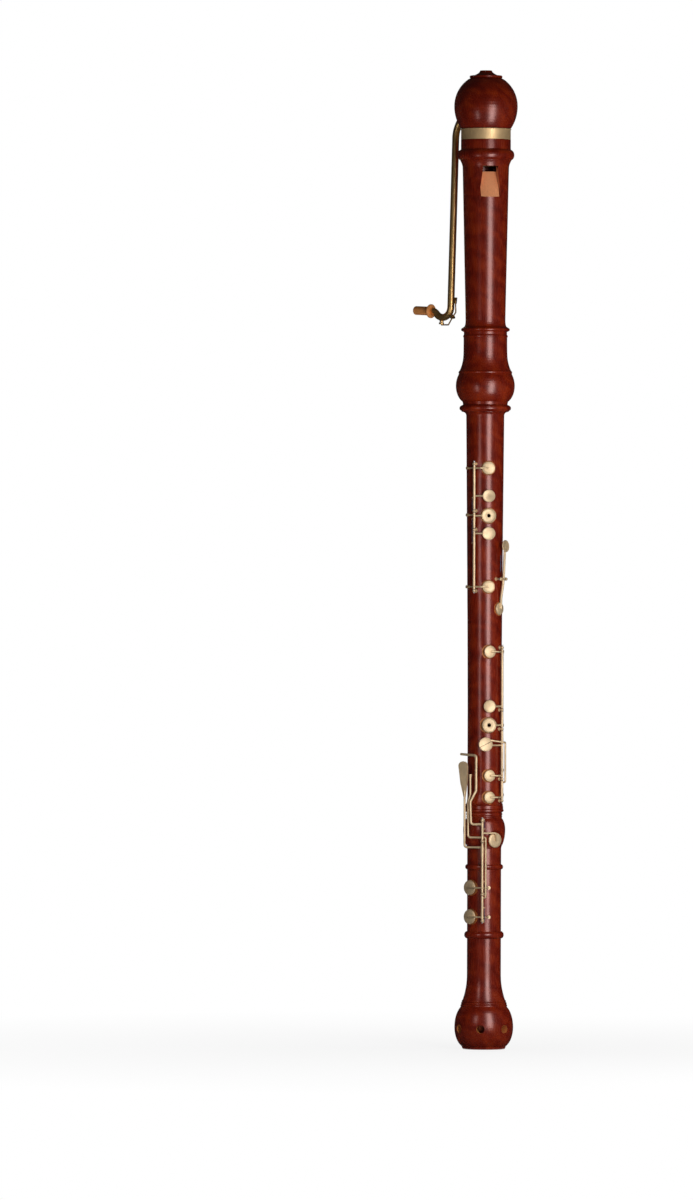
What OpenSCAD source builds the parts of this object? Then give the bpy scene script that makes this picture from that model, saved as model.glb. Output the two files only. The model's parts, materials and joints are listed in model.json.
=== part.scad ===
// Great bass recorder: a turned wooden body in three joints, a ball cap with a bocal, and hinge-tube keywork.
// The origin is on the bore's axis at the foot's base, +Z runs up the bore, and the window faces -Y.

/* [Foot joint] */
// Length of the foot below its lowest key post
foot_tail = 164.5; // [150:0.5:200]
// Radius of the foot's plain turned part
foot_r = 21.7; // [20.5:0.1:24]
// Largest radius of the bell
bell_r = 37.6; // [35:0.1:46]
// Radius of the flat ring that the foot stands on
base_r = 26.8; // [24:0.1:30]
// Radius of the bore through the foot
foot_bore_r = 12.5; // [10:0.1:13]
// Radius of the bore at the bottom that takes a floor peg
peg_bore_r = 15; // [13.5:0.1:18]
// Depth of the peg bore
peg_bore_depth = 17; // [12:0.5:18]
// Number of sound vents round the bell
vent_count = 7; // [4:1:10]
// Radius of a sound vent
vent_r = 5.3; // [3:0.1:6.5]
// Height of the vents above the base
vent_z = 26.5; // [26:0.5:32]

/* [Middle joint] */
// Radius of the middle joint at its lower end
middle_low_r = 21.65; // [20.5:0.05:23]
// Radius of the middle joint at its upper end
middle_top_r = 24.35; // [23.5:0.05:27]
// Bore radius at the upper end
middle_bore_top_r = 15.6; // [14:0.1:16]
// Bore radius at the lower end
middle_bore_low_r = 13; // [12:0.1:13.5]
// Distance between the lowest upper-hand post and the highest lower-hand post
hand_gap = 72.5; // [55:0.5:130]

/* [Head joint] */
// Length of the head from its lower rim to its upper shoulder
head_len = 348; // [310:1:430]
// Radius of the head's slim part, just over the ring above the bulb
head_waist_r = 25.5; // [24:0.1:28]
// Radius of the head just below the window
head_top_r = 29.7; // [28:0.1:31]
// Bore radius of the head
head_bore_r = 17.5; // [16:0.1:18]
// Width of the window
window_w = 20; // [14:0.1:22]
// Height of the window from the windway's end to the edge
window_h = 7.2; // [5.5:0.1:8]
// Height of the windway
windway_h = 1.5; // [1:0.1:2.5]
// Distance from the head's upper shoulder down to the window
window_drop = 34; // [32:0.5:35]
// Length of the ramp below the edge
ramp_len = 30.5; // [26:0.5:38]

/* [Tenons] */
// Radius of the foot's socket
lower_socket_r = 17.75; // [17:0.05:18.5]
// Length of the lower tenon
lower_tenon_len = 36; // [28:0.5:42]
// Radius of the head's lower socket
upper_socket_r = 20.5; // [19.5:0.05:22]
// Length of the upper tenon
upper_tenon_len = 36; // [28:0.5:42]
// Radius of the cap's socket
cap_socket_r = 24.5; // [23.5:0.05:26]
// Length of the head's top tenon
cap_tenon_len = 24; // [18:0.5:26]
// Thickness of the tenon cork
cork_t = 1.1; // [0.8:0.05:1.6]
// Clearance of a cork in its socket
socket_fit = 0.05; // [0.03:0.01:0.1]

/* [Cap] */
// Largest radius of the ball
ball_r = 40.6; // [39:0.1:48]
// Radius of the cap's skirt under its band
skirt_r = 30.5; // [29:0.1:32]
// Thickness of the metal band
band_t = 1.3; // [0.8:0.1:2]
// Height of the metal band
band_h = 13.8; // [10:0.1:16]

/* [Keys] */
// Radius of the steel hinge rods
rod_r = 0.9; // [0.8:0.05:1.1]
// Outer radius of the hinge tubes
tube_r = 1.65; // [1.6:0.05:2.1]
// Radial clearance of a hinge tube on its rod
hinge_fit = 0.05; // [0.03:0.01:0.1]
// Radius of a post's ball
ball_post_r = 2.1; // [2:0.05:2.6]
// Angle by which an open-standing key stands open
open_angle = 8; // [5:0.5:9]
// Radius of the cup of the first key
cup1_r = 8.25; // [7:0.05:9]
// Radius of the perforated plate of the second key
plate2_r = 9.3; // [8:0.05:10]
// Radius of the cup of the third key
cup3_r = 7.9; // [7:0.05:9]
// Radius of the see-saw key's cup
seesaw_cup_r = 8; // [7:0.05:8.5]
// Radius of the cup of the fourth key
cup4_r = 7.95; // [7:0.05:9]
// Radius of the ring key's plate
plate5_r = 9.5; // [9:0.05:10.5]
// Radius of the upper cup of the split key
cup6a_r = 7.5; // [7:0.05:8.5]
// Radius of the lower cup of the split key
cup6b_r = 7.4; // [7:0.05:8.2]
// Radius of the foot's upper cup
cup7c_r = 9.7; // [9:0.05:10.4]
// Radius of the foot's two lower cups
cup7_r = 9.4; // [8.5:0.05:10]
// Radius of a finger touch
touch_r = 8; // [7:0.05:8.5]
// Radius of the split touch
split_touch_r = 8.9; // [8.5:0.05:9.5]
// Radius of the arms
arm_r = 1.15; // [1:0.05:1.4]

/* [Key stations] */
// From the middle joint's top to its first post
upper_first = 66.6; // [55:0.5:90]
// Post to post along the first key
key1_len = 60.2; // [55:0.5:80]
// Post to post along the perforated key
key2_len = 24; // [20:0.5:30]
// Post to post along the third key
key3_len = 78.1; // [70:0.5:100]
// Post to post along the fourth key
key4_len = 79.6; // [70:0.5:100]
// Post to post along the ring key
key5_len = 24.5; // [23:0.5:32]
// Post to post along the upper half of the split key
key6a_len = 63.8; // [60:0.5:80]
// Post to post along the lower half of the split key
key6b_len = 27.8; // [26:0.5:36]
// From the middle joint's lower end to its lowest post
lower_first = 5.9; // [5:0.5:20]
// From the foot's top down to its first post
foot_first = 18.8; // [18:0.5:24]
// Post to post along the foot's first key
key7c_len = 26.9; // [26:0.5:34]
// Post to post along the foot's second key
key7a_len = 67.8; // [60:0.5:85]
// Post to post along the foot's third key
key7b_len = 33.8; // [32:0.5:44]

/* [Bocal] */
// Outer radius of the bocal's tube
bocal_r = 4.5; // [4:0.05:5]
// Wall of the bocal's tube
bocal_wall = 0.8; // [0.5:0.05:1.2]
// Length of the bocal's straight run
bocal_run = 216.5; // [180:0.5:300]
// Radius of the bend at the mouthpiece end
bocal_bend_r = 13.5; // [12:0.1:18]
// Radius of the mouthpiece's barrel
mouth_r = 5.65; // [5.5:0.05:7]
// Length of the mouthpiece's barrel
mouth_len = 24; // [18:0.5:32]

/* [Hidden] */
$fn = 64;

wood = "#5c1a10";
cedar = "#c9986a";
gold = "#d8c294";
old_gold = "#a88352";
steel = "#8f8f92";
cork = "#b58a5c";
leather = "#d9c6a2";

eps = 0.01;
seam = 0.2;

// Heights of the joints' ends
foot_top = foot_tail + key7b_len + key7a_len + key7c_len + foot_first;
middle_z0 = foot_top + seam;
middle_len = lower_first + key6b_len + key6a_len + key5_len + key4_len
    + hand_gap + key3_len + key2_len + key1_len + upper_first;
middle_z1 = middle_z0 + middle_len;
head_z0 = middle_z1 + seam;
head_z1 = head_z0 + head_len;
cap_z0 = head_z1 + seam;

// Heights of the posts, from the top down
upper_post_z = [
    middle_z1 - upper_first,
    middle_z1 - upper_first - key1_len,
    middle_z1 - upper_first - key1_len - key2_len,
    middle_z1 - upper_first - key1_len - key2_len - key3_len
];
lower_post_z = [
    upper_post_z[3] - hand_gap,
    upper_post_z[3] - hand_gap - key4_len,
    upper_post_z[3] - hand_gap - key4_len - key5_len,
    middle_z0 + lower_first + key6b_len,
    middle_z0 + lower_first
];
foot_post_z = [
    foot_top - foot_first,
    foot_top - foot_first - key7c_len,
    foot_top - foot_first - key7c_len - key7a_len,
    foot_tail
];

// Hinge lines as an angle from the front and a distance from the bore's axis
upper_line = [-42, middle_top_r + 3.45];
lower_line = [48, middle_low_r + 4.35];
foot_line = [-16.5, foot_r + 8.9];

// Cups: angle, height, radius
cup1 = [-1, upper_post_z[0] - 5.4, cup1_r];
plate2 = [0, upper_post_z[1] - 4.9 - 1.2, plate2_r];
cup3 = [0, upper_post_z[3] + 5.2, cup3_r];
seesaw_angle = 44.5;
seesaw_z = upper_post_z[3] + 15.2;
seesaw_cup = [seesaw_angle, seesaw_z - 38, seesaw_cup_r];
cup4 = [2, lower_post_z[0] - 5.2, cup4_r];
plate5 = [0, lower_post_z[1] - 19.5, plate5_r];
cup6a = [2, lower_post_z[3] + 4.2, cup6a_r];
cup6b = [2, lower_post_z[4] + 4.4, cup6b_r];
cup7c = [22, foot_post_z[1] + 1.6, cup7c_r];
cup7a = [-62, foot_post_z[2] + 8.4, cup7_r];
cup7b = [-62, foot_post_z[3] + 4.9, cup7_r];

// Touches: angle, height
touch1 = [0, cup1[1] - 35.6];
touch3 = [0, upper_post_z[2] - 4.8];
touch4 = [0, lower_post_z[1] + 4.6];
split_touch = [-12.2, lower_post_z[2] - 19.5];
split_slope = 27;

pad_gap = 0.3;
pad_h = 2.4;
cup_h = 3.1;
cup_wall = 0.8;
arm_bend = 2.2;
lever_r = 1.35;

function polar(phi, r) = [r * sin(phi), -r * cos(phi)];
function at_z(p, z) = [p[0], p[1], z];
function local_xy(p, phi) = [p[0] * cos(phi) + p[1] * sin(phi), -p[0] * sin(phi) + p[1] * cos(phi)];
function unit(v) = v / norm(v);

// An arc of an ellipse with its centre at (rc, zc), from angle t0 to t1
function oval(rc, zc, a, b, t0, t1, n = 8) =
    [for (i = [0:n]) let (t = t0 + (t1 - t0) * i / n) [rc + a * cos(t), zc + b * sin(t)]];
// A hollow flare from (r0, z0) to (r1, z1) that levels out at its end
function flare(r0, z0, r1, z1, power, n = 8) =
    [for (i = [0:n]) let (u = i / n) [r1 + (r0 - r1) * pow(1 - u, power), z0 + (z1 - z0) * u]];
// A flare that starts level
function rise(r0, z0, r1, z1, power, n = 6) =
    [for (i = [0:n]) let (u = i / n) [r0 + (r1 - r0) * pow(u, power), z0 + (z1 - z0) * u]];

// Radius of the turned wood at a height
bulge_z = foot_top - 31;
bulge_core = foot_r - 4.7;
function middle_r(z) =
    middle_low_r + (middle_top_r - middle_low_r)
    * pow(max(0, (z - middle_z0 - 108) / (middle_len - 115)), 1.4);
function foot_radius(z) =
    z < foot_top - 54 ? foot_r
    : bulge_core + 9.9 * sqrt(1 - pow((z - bulge_z) / (z > bulge_z ? 17.5 : 25), 2));

// Distance from the axis to the flat that a round pad of radius r seats on
function seat_y(wood_r, r) = sqrt(wood_r * wood_r - r * r) - 0.25;
seat1 = seat_y(middle_r(cup1[1]), cup1_r);
seat2 = seat_y(middle_r(plate2[1]), plate2_r);
seat3 = seat_y(middle_r(cup3[1]), cup3_r);
seat_ss = seat_y(middle_r(seesaw_cup[1]), seesaw_cup_r);
seat4 = seat_y(middle_r(cup4[1]), cup4_r);
seat5 = seat_y(middle_r(plate5[1]), plate5_r);
seat6a = seat_y(middle_r(cup6a[1]), cup6a_r);
seat6b = seat_y(middle_r(cup6b[1]), cup6b_r);
recess_clear = 2.8;
seat7c = seat_y(foot_radius(cup7c[1]), cup7c_r + recess_clear) + 0.5;
seat7a = seat_y(foot_r, cup7_r);
seat7b = seat_y(foot_r, cup7_r);

// Frames and primitives

module at(phi) rotate([0, 0, phi]) children();

// Turns the children about a vertical hinge line
module swung(line, angle) {
    h = polar(line[0], line[1]);
    translate([h[0], h[1], 0]) rotate([0, 0, angle]) translate([-h[0], -h[1], 0]) children();
}

// Lays the children's +Z along the outward direction at an angle, a height and a distance from the axis
module outward(phi, z, y) at(phi) translate([0, -y, z]) rotate([90, 0, 0]) children();

module rod_between(p, q, r) {
    d = q - p;
    translate(p) rotate([0, acos(d[2] / norm(d)), atan2(d[1], d[0])]) cylinder(h = norm(d), r = r, $fn = 24);
}

function corner_angle(a, b, c) = acos(unit(b - a) * unit(c - b));
function corner_trim(pts, i, bend) =
    i == 0 || i == len(pts) - 1 ? 0 : bend * tan(corner_angle(pts[i - 1], pts[i], pts[i + 1]) / 2);

module elbow(a, b, c, r, bend) {
    u = unit(b - a);
    v = unit(c - b);
    turn = acos(u * v);
    w = unit(v - u * (u * v));
    n = cross(u, w);
    centre = b - u * bend * tan(turn / 2) + w * bend;
    multmatrix([
        [-w[0], u[0], n[0], centre[0]],
        [-w[1], u[1], n[1], centre[1]],
        [-w[2], u[2], n[2], centre[2]],
        [0, 0, 0, 1]
    ])
        rotate_extrude(angle = turn, $fn = 48) translate([bend, 0]) circle(r = r, $fn = 24);
}

// A round wire through a list of points, bent at each corner; each bend is a little thicker than the runs in it
bend_step = 0.06;
lap = 0.3;
module wire(pts, r, bend) {
    for (i = [0:len(pts) - 2]) {
        d = unit(pts[i + 1] - pts[i]);
        p = pts[i] + d * max(0, corner_trim(pts, i, bend) - lap);
        q = pts[i + 1] - d * max(0, corner_trim(pts, i + 1, bend) - lap);
        rod_between(p, q, r);
    }
    if (len(pts) > 2)
        for (i = [1:len(pts) - 2]) elbow(pts[i - 1], pts[i], pts[i + 1], r + bend_step, bend);
}

// Wood

foot_outline = concat(
    [[0, 0], [base_r, 0], [base_r + 0.9, 1.4]],
    oval(bell_r - 15.6, 28, 15.6, 26.8, -67, 0, 10),
    oval(bell_r - 15.6, 28, 15.6, 29.6, 6, 60, 8),
    oval(bell_r - 8.6, 55.5, 1, 1.3, -70, 70, 4),
    oval(bell_r - 9.3, 58.4, 1, 1.3, -70, 70, 4),
    oval(bell_r - 10.1, 61.1, 0.9, 1.2, -70, 70, 4),
    flare(bell_r - 10.4, 62.6, foot_r, 95.5, 2.1, 8),
    oval(foot_r, foot_top - 165.8, 3.6, 4.6, -90, 90, 8),
    oval(foot_r, foot_top - 78.8, 2.6, 3.3, -90, 90, 6),
    [[foot_r, foot_top - 55.5]],
    oval(bulge_core, bulge_z, 9.9, 25, -58, 0, 8),
    oval(bulge_core, bulge_z, 9.9, 17.5, 8, 56, 7),
    oval(foot_r + 0.4, foot_top - 14.6, 1, 1.1, -80, 80, 4),
    oval(foot_r + 0.4, foot_top - 11.3, 1.1, 1.9, -80, 80, 5),
    [
        [foot_r + 0.6, foot_top - 9.2], [foot_r + 3.1, foot_top - 7.5], [foot_r + 3.1, foot_top - 5.8],
        [foot_r + 2.1, foot_top - 5], [foot_r + 2.6, foot_top - 4.2], [foot_r + 2.3, foot_top - 0.6],
        [foot_r + 1.8, foot_top], [0, foot_top]
    ]
);

middle_outline = concat(
    [[0, middle_z0], [middle_low_r + 2.1, middle_z0]],
    oval(middle_low_r + 2.35, middle_z0 + 13, 2.35, 12, 270, 180, 6),
    [for (i = [0:8]) let (z = middle_z0 + 108 + (middle_len - 115) * i / 8) [middle_r(z), z]],
    oval(middle_top_r + 3.15, middle_z1 - 5, 3.15, 4.6, 180, 90, 6),
    [[middle_top_r + 3.15, middle_z1], [0, middle_z1]]
);

waist_z = head_z0 + 117;
window_z = head_z1 - window_drop;
head_outline = concat(
    [[0, head_z0], [head_waist_r + 4, head_z0]],
    oval(head_waist_r + 4.7, head_z0 + 4.7, 2.8, 3.3, -75, 75, 6),
    [[head_waist_r + 2.9, head_z0 + 9.2]],
    oval(head_waist_r - 3.5, head_z0 + 33.2, 15.7, 22.8, -63, 0, 9),
    oval(head_waist_r - 3.5, head_z0 + 33.2, 15.7, 23, 7, 37, 4),
    oval(head_waist_r + 8, head_z0 + 50.4, 0.9, 1.5, -70, 70, 4),
    flare(head_waist_r + 7.2, head_z0 + 53, head_waist_r + 2.5, head_z0 + 78, 2.4, 8),
    [[head_waist_r + 2.4, head_z0 + 94]],
    oval(head_waist_r + 2.2, head_z0 + 96.6, 0.9, 1.6, -80, 80, 4),
    [[head_waist_r + 2.1, head_z0 + 99], [head_waist_r + 2.1, head_z0 + 102.2]],
    oval(head_waist_r + 3.1, head_z0 + 105.2, 2.6, 2.3, -75, 75, 6),
    oval(head_waist_r + 2.2, waist_z, 2.2, 8.4, 270, 180, 5),
    rise(head_top_r, window_z - 1, head_top_r + 2.9, window_z + 7.4, 1.6, 5),
    oval(head_top_r + 1.5, window_z + 14.6, 5.3, 6.8, -75, 75, 10),
    [[head_top_r + 2.2, window_z + 22], [head_top_r + 2.2, head_z1], [0, head_z1]]
);

ball_z = cap_z0 + 43;
ball_foot_t = -37;
ball_top_t = 56;
cap_top_z = ball_z + 45.6;
cap_outline = concat(
    [[0, cap_z0], [skirt_r, cap_z0], [skirt_r, cap_z0 + band_h]],
    oval(0, ball_z, ball_r, 46.7, ball_foot_t, 0, 8),
    oval(0, ball_z, ball_r, 41.5, 6, ball_top_t, 9),
    [
        [ball_r / 2 - 0.4, cap_top_z - 9.9], [ball_r / 2 + 0.6, cap_top_z - 9.3],
        [ball_r / 2 + 0.6, cap_top_z - 7], [ball_r / 2 - 0.4, cap_top_z - 6.5]
    ],
    flare(15.8, cap_top_z - 6.4, 7.9, cap_top_z - 0.8, 1.7, 6),
    [[7.4, cap_top_z], [0, cap_top_z]]
);

module turned(outline) rotate_extrude($fn = 96) polygon(outline);

// A cylinder that bores straight up from z0 to z1
module bore(r, z0, z1) translate([0, 0, z0]) cylinder(h = z1 - z0, r = r, $fn = 96);

// A tenon below or above a shoulder, with a groove for its cork
cork_margin = 5;
module tenon(r, z0, len, groove_r) {
    difference() {
        bore(r, z0, z0 + len);
        difference() {
            bore(r + 1, z0 + cork_margin, z0 + len - cork_margin);
            bore(groove_r, z0 + cork_margin - 1, z0 + len - cork_margin + 1);
        }
    }
}
module tenon_cork(socket_r, z0, len) {
    difference() {
        bore(socket_r - socket_fit, z0 + cork_margin, z0 + len - cork_margin);
        bore(socket_r - socket_fit - cork_t, z0, z0 + len);
    }
}
tenon_slack = 0.35;
groove_slack = 0.02;
function groove_r(socket_r) = socket_r - socket_fit - cork_t - groove_slack;

// The pocket and the hole under a pad
pocket_clear = 1.2;
module pad_seat(cup, seat, hole_r, clear = pocket_clear) {
    outward(cup[0], cup[1], seat) cylinder(h = 30, r = cup[2] + clear, $fn = 96);
    outward(cup[0], cup[1], 0) translate([0, 0, 6]) cylinder(h = 30, r = hole_r, $fn = 96);
}

// Posts: a ball on a pillar with a flange on the wood and a shank in it
flange_r = 2.5;
shank_r = 1.2;
shank_len = 6;
pin_slack = 0.04;
function flange_y(wood_r) = sqrt(wood_r * wood_r - flange_r * flange_r) - 0.1;
module post(line, z, wood_r) {
    difference() {
        union() {
            outward(line[0], z, flange_y(wood_r)) cylinder(h = 0.9, r = flange_r);
            outward(line[0], z, flange_y(wood_r) - shank_len)
                cylinder(h = line[1] - flange_y(wood_r) + shank_len, r = shank_r);
            at_line(line, z) sphere(r = ball_post_r);
        }
        at_line(line, z - 10) cylinder(h = 20, r = rod_r + pin_slack);
    }
}
module post_seat(line, z, wood_r) {
    outward(line[0], z, flange_y(wood_r)) cylinder(h = 12, r = flange_r + 0.1);
    outward(line[0], z, flange_y(wood_r) - shank_len - 0.2) cylinder(h = 12, r = shank_r + pin_slack);
}
module at_line(line, z) translate(at_z(polar(line[0], line[1]), z)) children();

// Stop corks: a short cork on the wood under a key's foot
stop_r = 1.7;
function stop_y(wood_r) = sqrt(wood_r * wood_r - stop_r * stop_r) - 0.1;
module stop_cork(phi, z, wood_r, top_y) {
    outward(phi, z, stop_y(wood_r)) cylinder(h = top_y - stop_y(wood_r), r = stop_r);
}
module stop_seat(phi, z, wood_r) outward(phi, z, stop_y(wood_r)) cylinder(h = 12, r = stop_r + 0.05);

// Stops: angle, height, distance of the foot's underside from the axis
upper_stop_phi = upper_line[0] - 30;
lower_stop_phi = lower_line[0] + 18;
foot_stop_phi = foot_line[0] + 19;
upper_stops = [
    [upper_stop_phi, cup1[1]],
    [upper_stop_phi, plate2[1] + 1],
    [upper_stop_phi, cup3[1]]
];
lower_stops = [
    [lower_stop_phi, cup4[1]],
    [lower_stop_phi, plate5[1]],
    [lower_stop_phi, cup6a[1] + 7],
    [lower_stop_phi, cup6b[1] + 3]
];
foot_stops = [
    [foot_stop_phi, cup7a[1]],
    [foot_stop_phi, cup7b[1]]
];
upper_stop_y = middle_top_r + 1.75;
lower_stop_y = middle_low_r + 2;
foot_stop_y = foot_r + 2.2;

module foot_joint() {
    color(wood)
        difference() {
            turned(foot_outline);
            bore(foot_bore_r, -1, foot_top + 1);
            bore(peg_bore_r, -1, peg_bore_depth);
            bore(lower_socket_r, foot_top - lower_tenon_len - 1, foot_top + 1);
            for (i = [0:vent_count - 1])
                outward(-18.5 + i * 360 / vent_count, vent_z, 0) translate([0, 0, 6]) cylinder(h = 40, r = vent_r);
            pad_seat(cup7c, seat7c, 6, recess_clear);
            pad_seat(cup7a, seat7a, 5.8);
            pad_seat(cup7b, seat7b, 5.5);
            for (z = foot_post_z) post_seat(foot_line, z, foot_radius(z));
            for (s = foot_stops) stop_seat(s[0], s[1], foot_r);
        }
}

thumb_z = upper_post_z[0] - 23;
bush_r = 6;
bush_len = 6;
rest_z = lower_post_z[1] - 4;
rest_y = middle_r(rest_z) - 1.6;
sling_z = middle_z1 - 32;
sling_y = middle_r(sling_z) - 1.2;
plate_t = 2.4;

module middle_joint() {
    color(wood)
        difference() {
            union() {
                turned(middle_outline);
                tenon(lower_socket_r - tenon_slack, middle_z0 - lower_tenon_len, lower_tenon_len + eps,
                    groove_r(lower_socket_r));
                tenon(upper_socket_r - tenon_slack, middle_z1 - eps, upper_tenon_len + eps,
                    groove_r(upper_socket_r));
            }
            translate([0, 0, middle_z0 - lower_tenon_len - 1])
                cylinder(
                    h = middle_len + lower_tenon_len + upper_tenon_len + 2,
                    r1 = middle_bore_low_r, r2 = middle_bore_top_r, $fn = 96
                );
            pad_seat(cup1, seat1, 5);
            pad_seat(plate2, seat2, 5);
            pad_seat(cup3, seat3, 5);
            pad_seat(seesaw_cup, seat_ss, 4.5);
            pad_seat(cup4, seat4, 5.2);
            pad_seat(plate5, seat5, 5.6);
            pad_seat(cup6a, seat6a, 4.6);
            pad_seat(cup6b, seat6b, 4.4);
            for (z = upper_post_z) post_seat(upper_line, z, middle_r(z));
            for (z = lower_post_z) post_seat(lower_line, z, middle_r(z));
            for (s = upper_stops) stop_seat(s[0], s[1], middle_r(s[1]));
            for (s = lower_stops) stop_seat(s[0], s[1], middle_r(s[1]));
            outward(180, thumb_z, middle_r(thumb_z) - bush_len) cylinder(h = 20, r = bush_r + pin_slack);
            outward(180, thumb_z, 6) cylinder(h = 20, r = 3.2);
            outward(180, rest_z, rest_y) translate([-7.1, -15.1, 0]) cube([14.2, 30.2, 20]);
            outward(180, sling_z, sling_y) translate([-5.1, -11.1, 0]) cube([10.2, 22.2, 20]);
            rest_screw_holes(pin_slack);
            seesaw_seats();
        }
}

ramp_w = window_w + 8;
ramp_round = 32;
edge_r = head_bore_r + 0.8;
// The wedge above a rounded ramp that rises from the edge to the wood's face
module ramp_cut() {
    z1 = window_z - window_h;
    slope = atan((head_top_r - 1 - edge_r) / (ramp_len + 1.5));
    difference() {
        translate([0, -10, z1]) rotate([90, 0, 0])
            linear_extrude(height = 40)
                polygon([
                    [window_w / 2, 0.01], [ramp_w / 2, -ramp_len], [ramp_w / 2, -ramp_len - 8],
                    [-ramp_w / 2, -ramp_len - 8], [-ramp_w / 2, -ramp_len], [-window_w / 2, 0.01]
                ]);
        translate([0, -edge_r, z1]) rotate([-slope, 0, 0])
            translate([0, ramp_round, -80]) cylinder(h = 100, r = ramp_round, $fn = 96);
    }
}

module head_joint() {
    color(wood)
        difference() {
            union() {
                turned(head_outline);
                tenon(cap_socket_r - tenon_slack, head_z1 - eps, cap_tenon_len + eps, groove_r(cap_socket_r));
            }
            bore(head_bore_r, head_z0 - 1, head_z1 + cap_tenon_len + 1);
            bore(upper_socket_r, head_z0 - 1, head_z0 + upper_tenon_len + tuning_reach);
            intersection() {
                bore(head_bore_r + windway_h, window_z - 1, head_z1 + cap_tenon_len + 1);
                translate([-window_w / 2, -40, window_z - 1]) cube([window_w, 40, 200]);
            }
            translate([-window_w / 2, -50, window_z - window_h]) cube([window_w, 50 - 8, window_h]);
            ramp_cut();
        }
}
tuning_reach = 1;

module block() {
    color(cedar) bore(head_bore_r - 0.05, window_z + 0.3, head_z1 + cap_tenon_len - 0.5);
}

chamber_r = 21;
chamber_z = ball_z + 13;
bocal_phi = -142;
socket_tilt = 47;
socket_u = ball_r - 1.9;
socket_z = ball_z - 13.3;
socket_in = 15;
socket_out = 1.6;
socket_wall = 1.5;
bocal_cork_t = 1.1;
socket_bore_r = bocal_r + bocal_cork_t + socket_fit;

// Puts the children's +Z along the bocal's socket, pointing out
module at_socket() {
    at(bocal_phi) translate([0, -socket_u, socket_z]) rotate([90 + socket_tilt, 0, 0]) children();
}

module cap() {
    color(wood)
        difference() {
            turned(cap_outline);
            bore(cap_socket_r, cap_z0 - 1, cap_z0 + cap_tenon_len + 2);
            bore(chamber_r, cap_z0, chamber_z);
            at_socket() translate([0, 0, -socket_in]) cylinder(h = 30, r = socket_bore_r + socket_wall + pin_slack);
            at_socket() translate([0, 0, -socket_in - 14]) cylinder(h = 30, r = bocal_r + 0.3);
            at_socket() translate([0, 0, -0.6]) cylinder(h = 20, r = socket_bore_r + socket_wall + 1.6);
        }
}

module cap_band() {
    color(gold)
        difference() {
            union() {
                bore(skirt_r + band_t, cap_z0, cap_z0 + band_h);
                bore(skirt_r + band_t + 0.7, cap_z0 + band_h - 1.2, cap_z0 + band_h);
            }
            bore(skirt_r + 0.02, cap_z0 - 1, cap_z0 + band_h + 1);
        }
}

module lower_tenon_cork() color(cork) tenon_cork(lower_socket_r, middle_z0 - lower_tenon_len, lower_tenon_len);
module upper_tenon_cork() color(cork) tenon_cork(upper_socket_r, middle_z1, upper_tenon_len);
module cap_tenon_cork() color(cork) tenon_cork(cap_socket_r, head_z1, cap_tenon_len);

module thumb_bush() {
    color(leather)
        outward(180, thumb_z, middle_r(thumb_z) - bush_len)
            difference() {
                cylinder(h = bush_len - 0.9, r = bush_r);
                translate([0, 0, -1]) cylinder(h = bush_len + 2, r = 3.2);
            }
}

// Thumb rest with two screws
rest_screw_dz = 9.5;
module rest_screw_holes(slack) {
    for (s = [-1, 1])
        outward(180, rest_z + s * rest_screw_dz, rest_y - 4.5)
            cylinder(h = 4.5 + plate_t + 0.1, r = 1.2 + slack);
}
module thumb_rest() {
    color(gold)
        difference() {
            outward(180, rest_z, rest_y + 0.02)
                union() {
                    translate([-7, -15, 0]) cube([14, 30, plate_t]);
                    translate([-7, -2, 0]) cube([14, 3.2, 17]);
                    translate([-7, -4, 15.4]) cube([14, 5.2, 2]);
                }
            rest_screw_holes(pin_slack);
        }
}
module thumb_rest_screws() {
    color(steel) {
        rest_screw_holes(0);
        for (s = [-1, 1])
            outward(180, rest_z + s * rest_screw_dz, rest_y + plate_t + 0.04) cylinder(h = 1.1, r = 2.3);
    }
}

// Sling plate with an eye, and its ring
eye_y = sling_y + plate_t + 4;
ring_r = 8;
ring_wire_r = 1.1;
module sling_plate() {
    color(gold)
        difference() {
            outward(180, sling_z, sling_y + 0.02)
                union() {
                    translate([-5, -11, 0]) cube([10, 22, plate_t]);
                    translate([-1.1, -2.6, 0]) cube([2.2, 5.2, plate_t + 4]);
                    translate([-1.1, 0, plate_t + 4]) rotate([0, 90, 0]) cylinder(h = 2.2, r = 2.6);
                }
            at(180) translate([-3, -eye_y, sling_z]) rotate([0, 90, 0]) cylinder(h = 6, r = 1.45);
        }
}
module sling_ring() {
    color(gold)
        at(180) translate([0, -eye_y, sling_z - ring_r]) rotate([90, 0, 0])
            rotate_extrude($fn = 64) translate([ring_r, 0]) circle(r = ring_wire_r, $fn = 24);
}

// Fixed key hardware

module upper_posts() color(gold) for (z = upper_post_z) post(upper_line, z, middle_r(z));
module lower_posts() color(gold) for (z = lower_post_z) post(lower_line, z, middle_r(z));
module foot_posts() color(gold) for (z = foot_post_z) post(foot_line, z, foot_radius(z));

rod_over = ball_post_r + 0.8;
module hinge_rod(line, z_low, z_high) {
    at_line(line, z_low - rod_over) cylinder(h = z_high - z_low + 2 * rod_over, r = rod_r);
    at_line(line, z_high + rod_over - 0.2) cylinder(h = 1, r = rod_r + 0.4);
}
module upper_hinge_rod() color(steel) hinge_rod(upper_line, upper_post_z[3], upper_post_z[0]);
module lower_hinge_rod() color(steel) hinge_rod(lower_line, lower_post_z[4], lower_post_z[0]);
module foot_hinge_rod() color(steel) hinge_rod(foot_line, foot_post_z[3], foot_post_z[0]);

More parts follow.
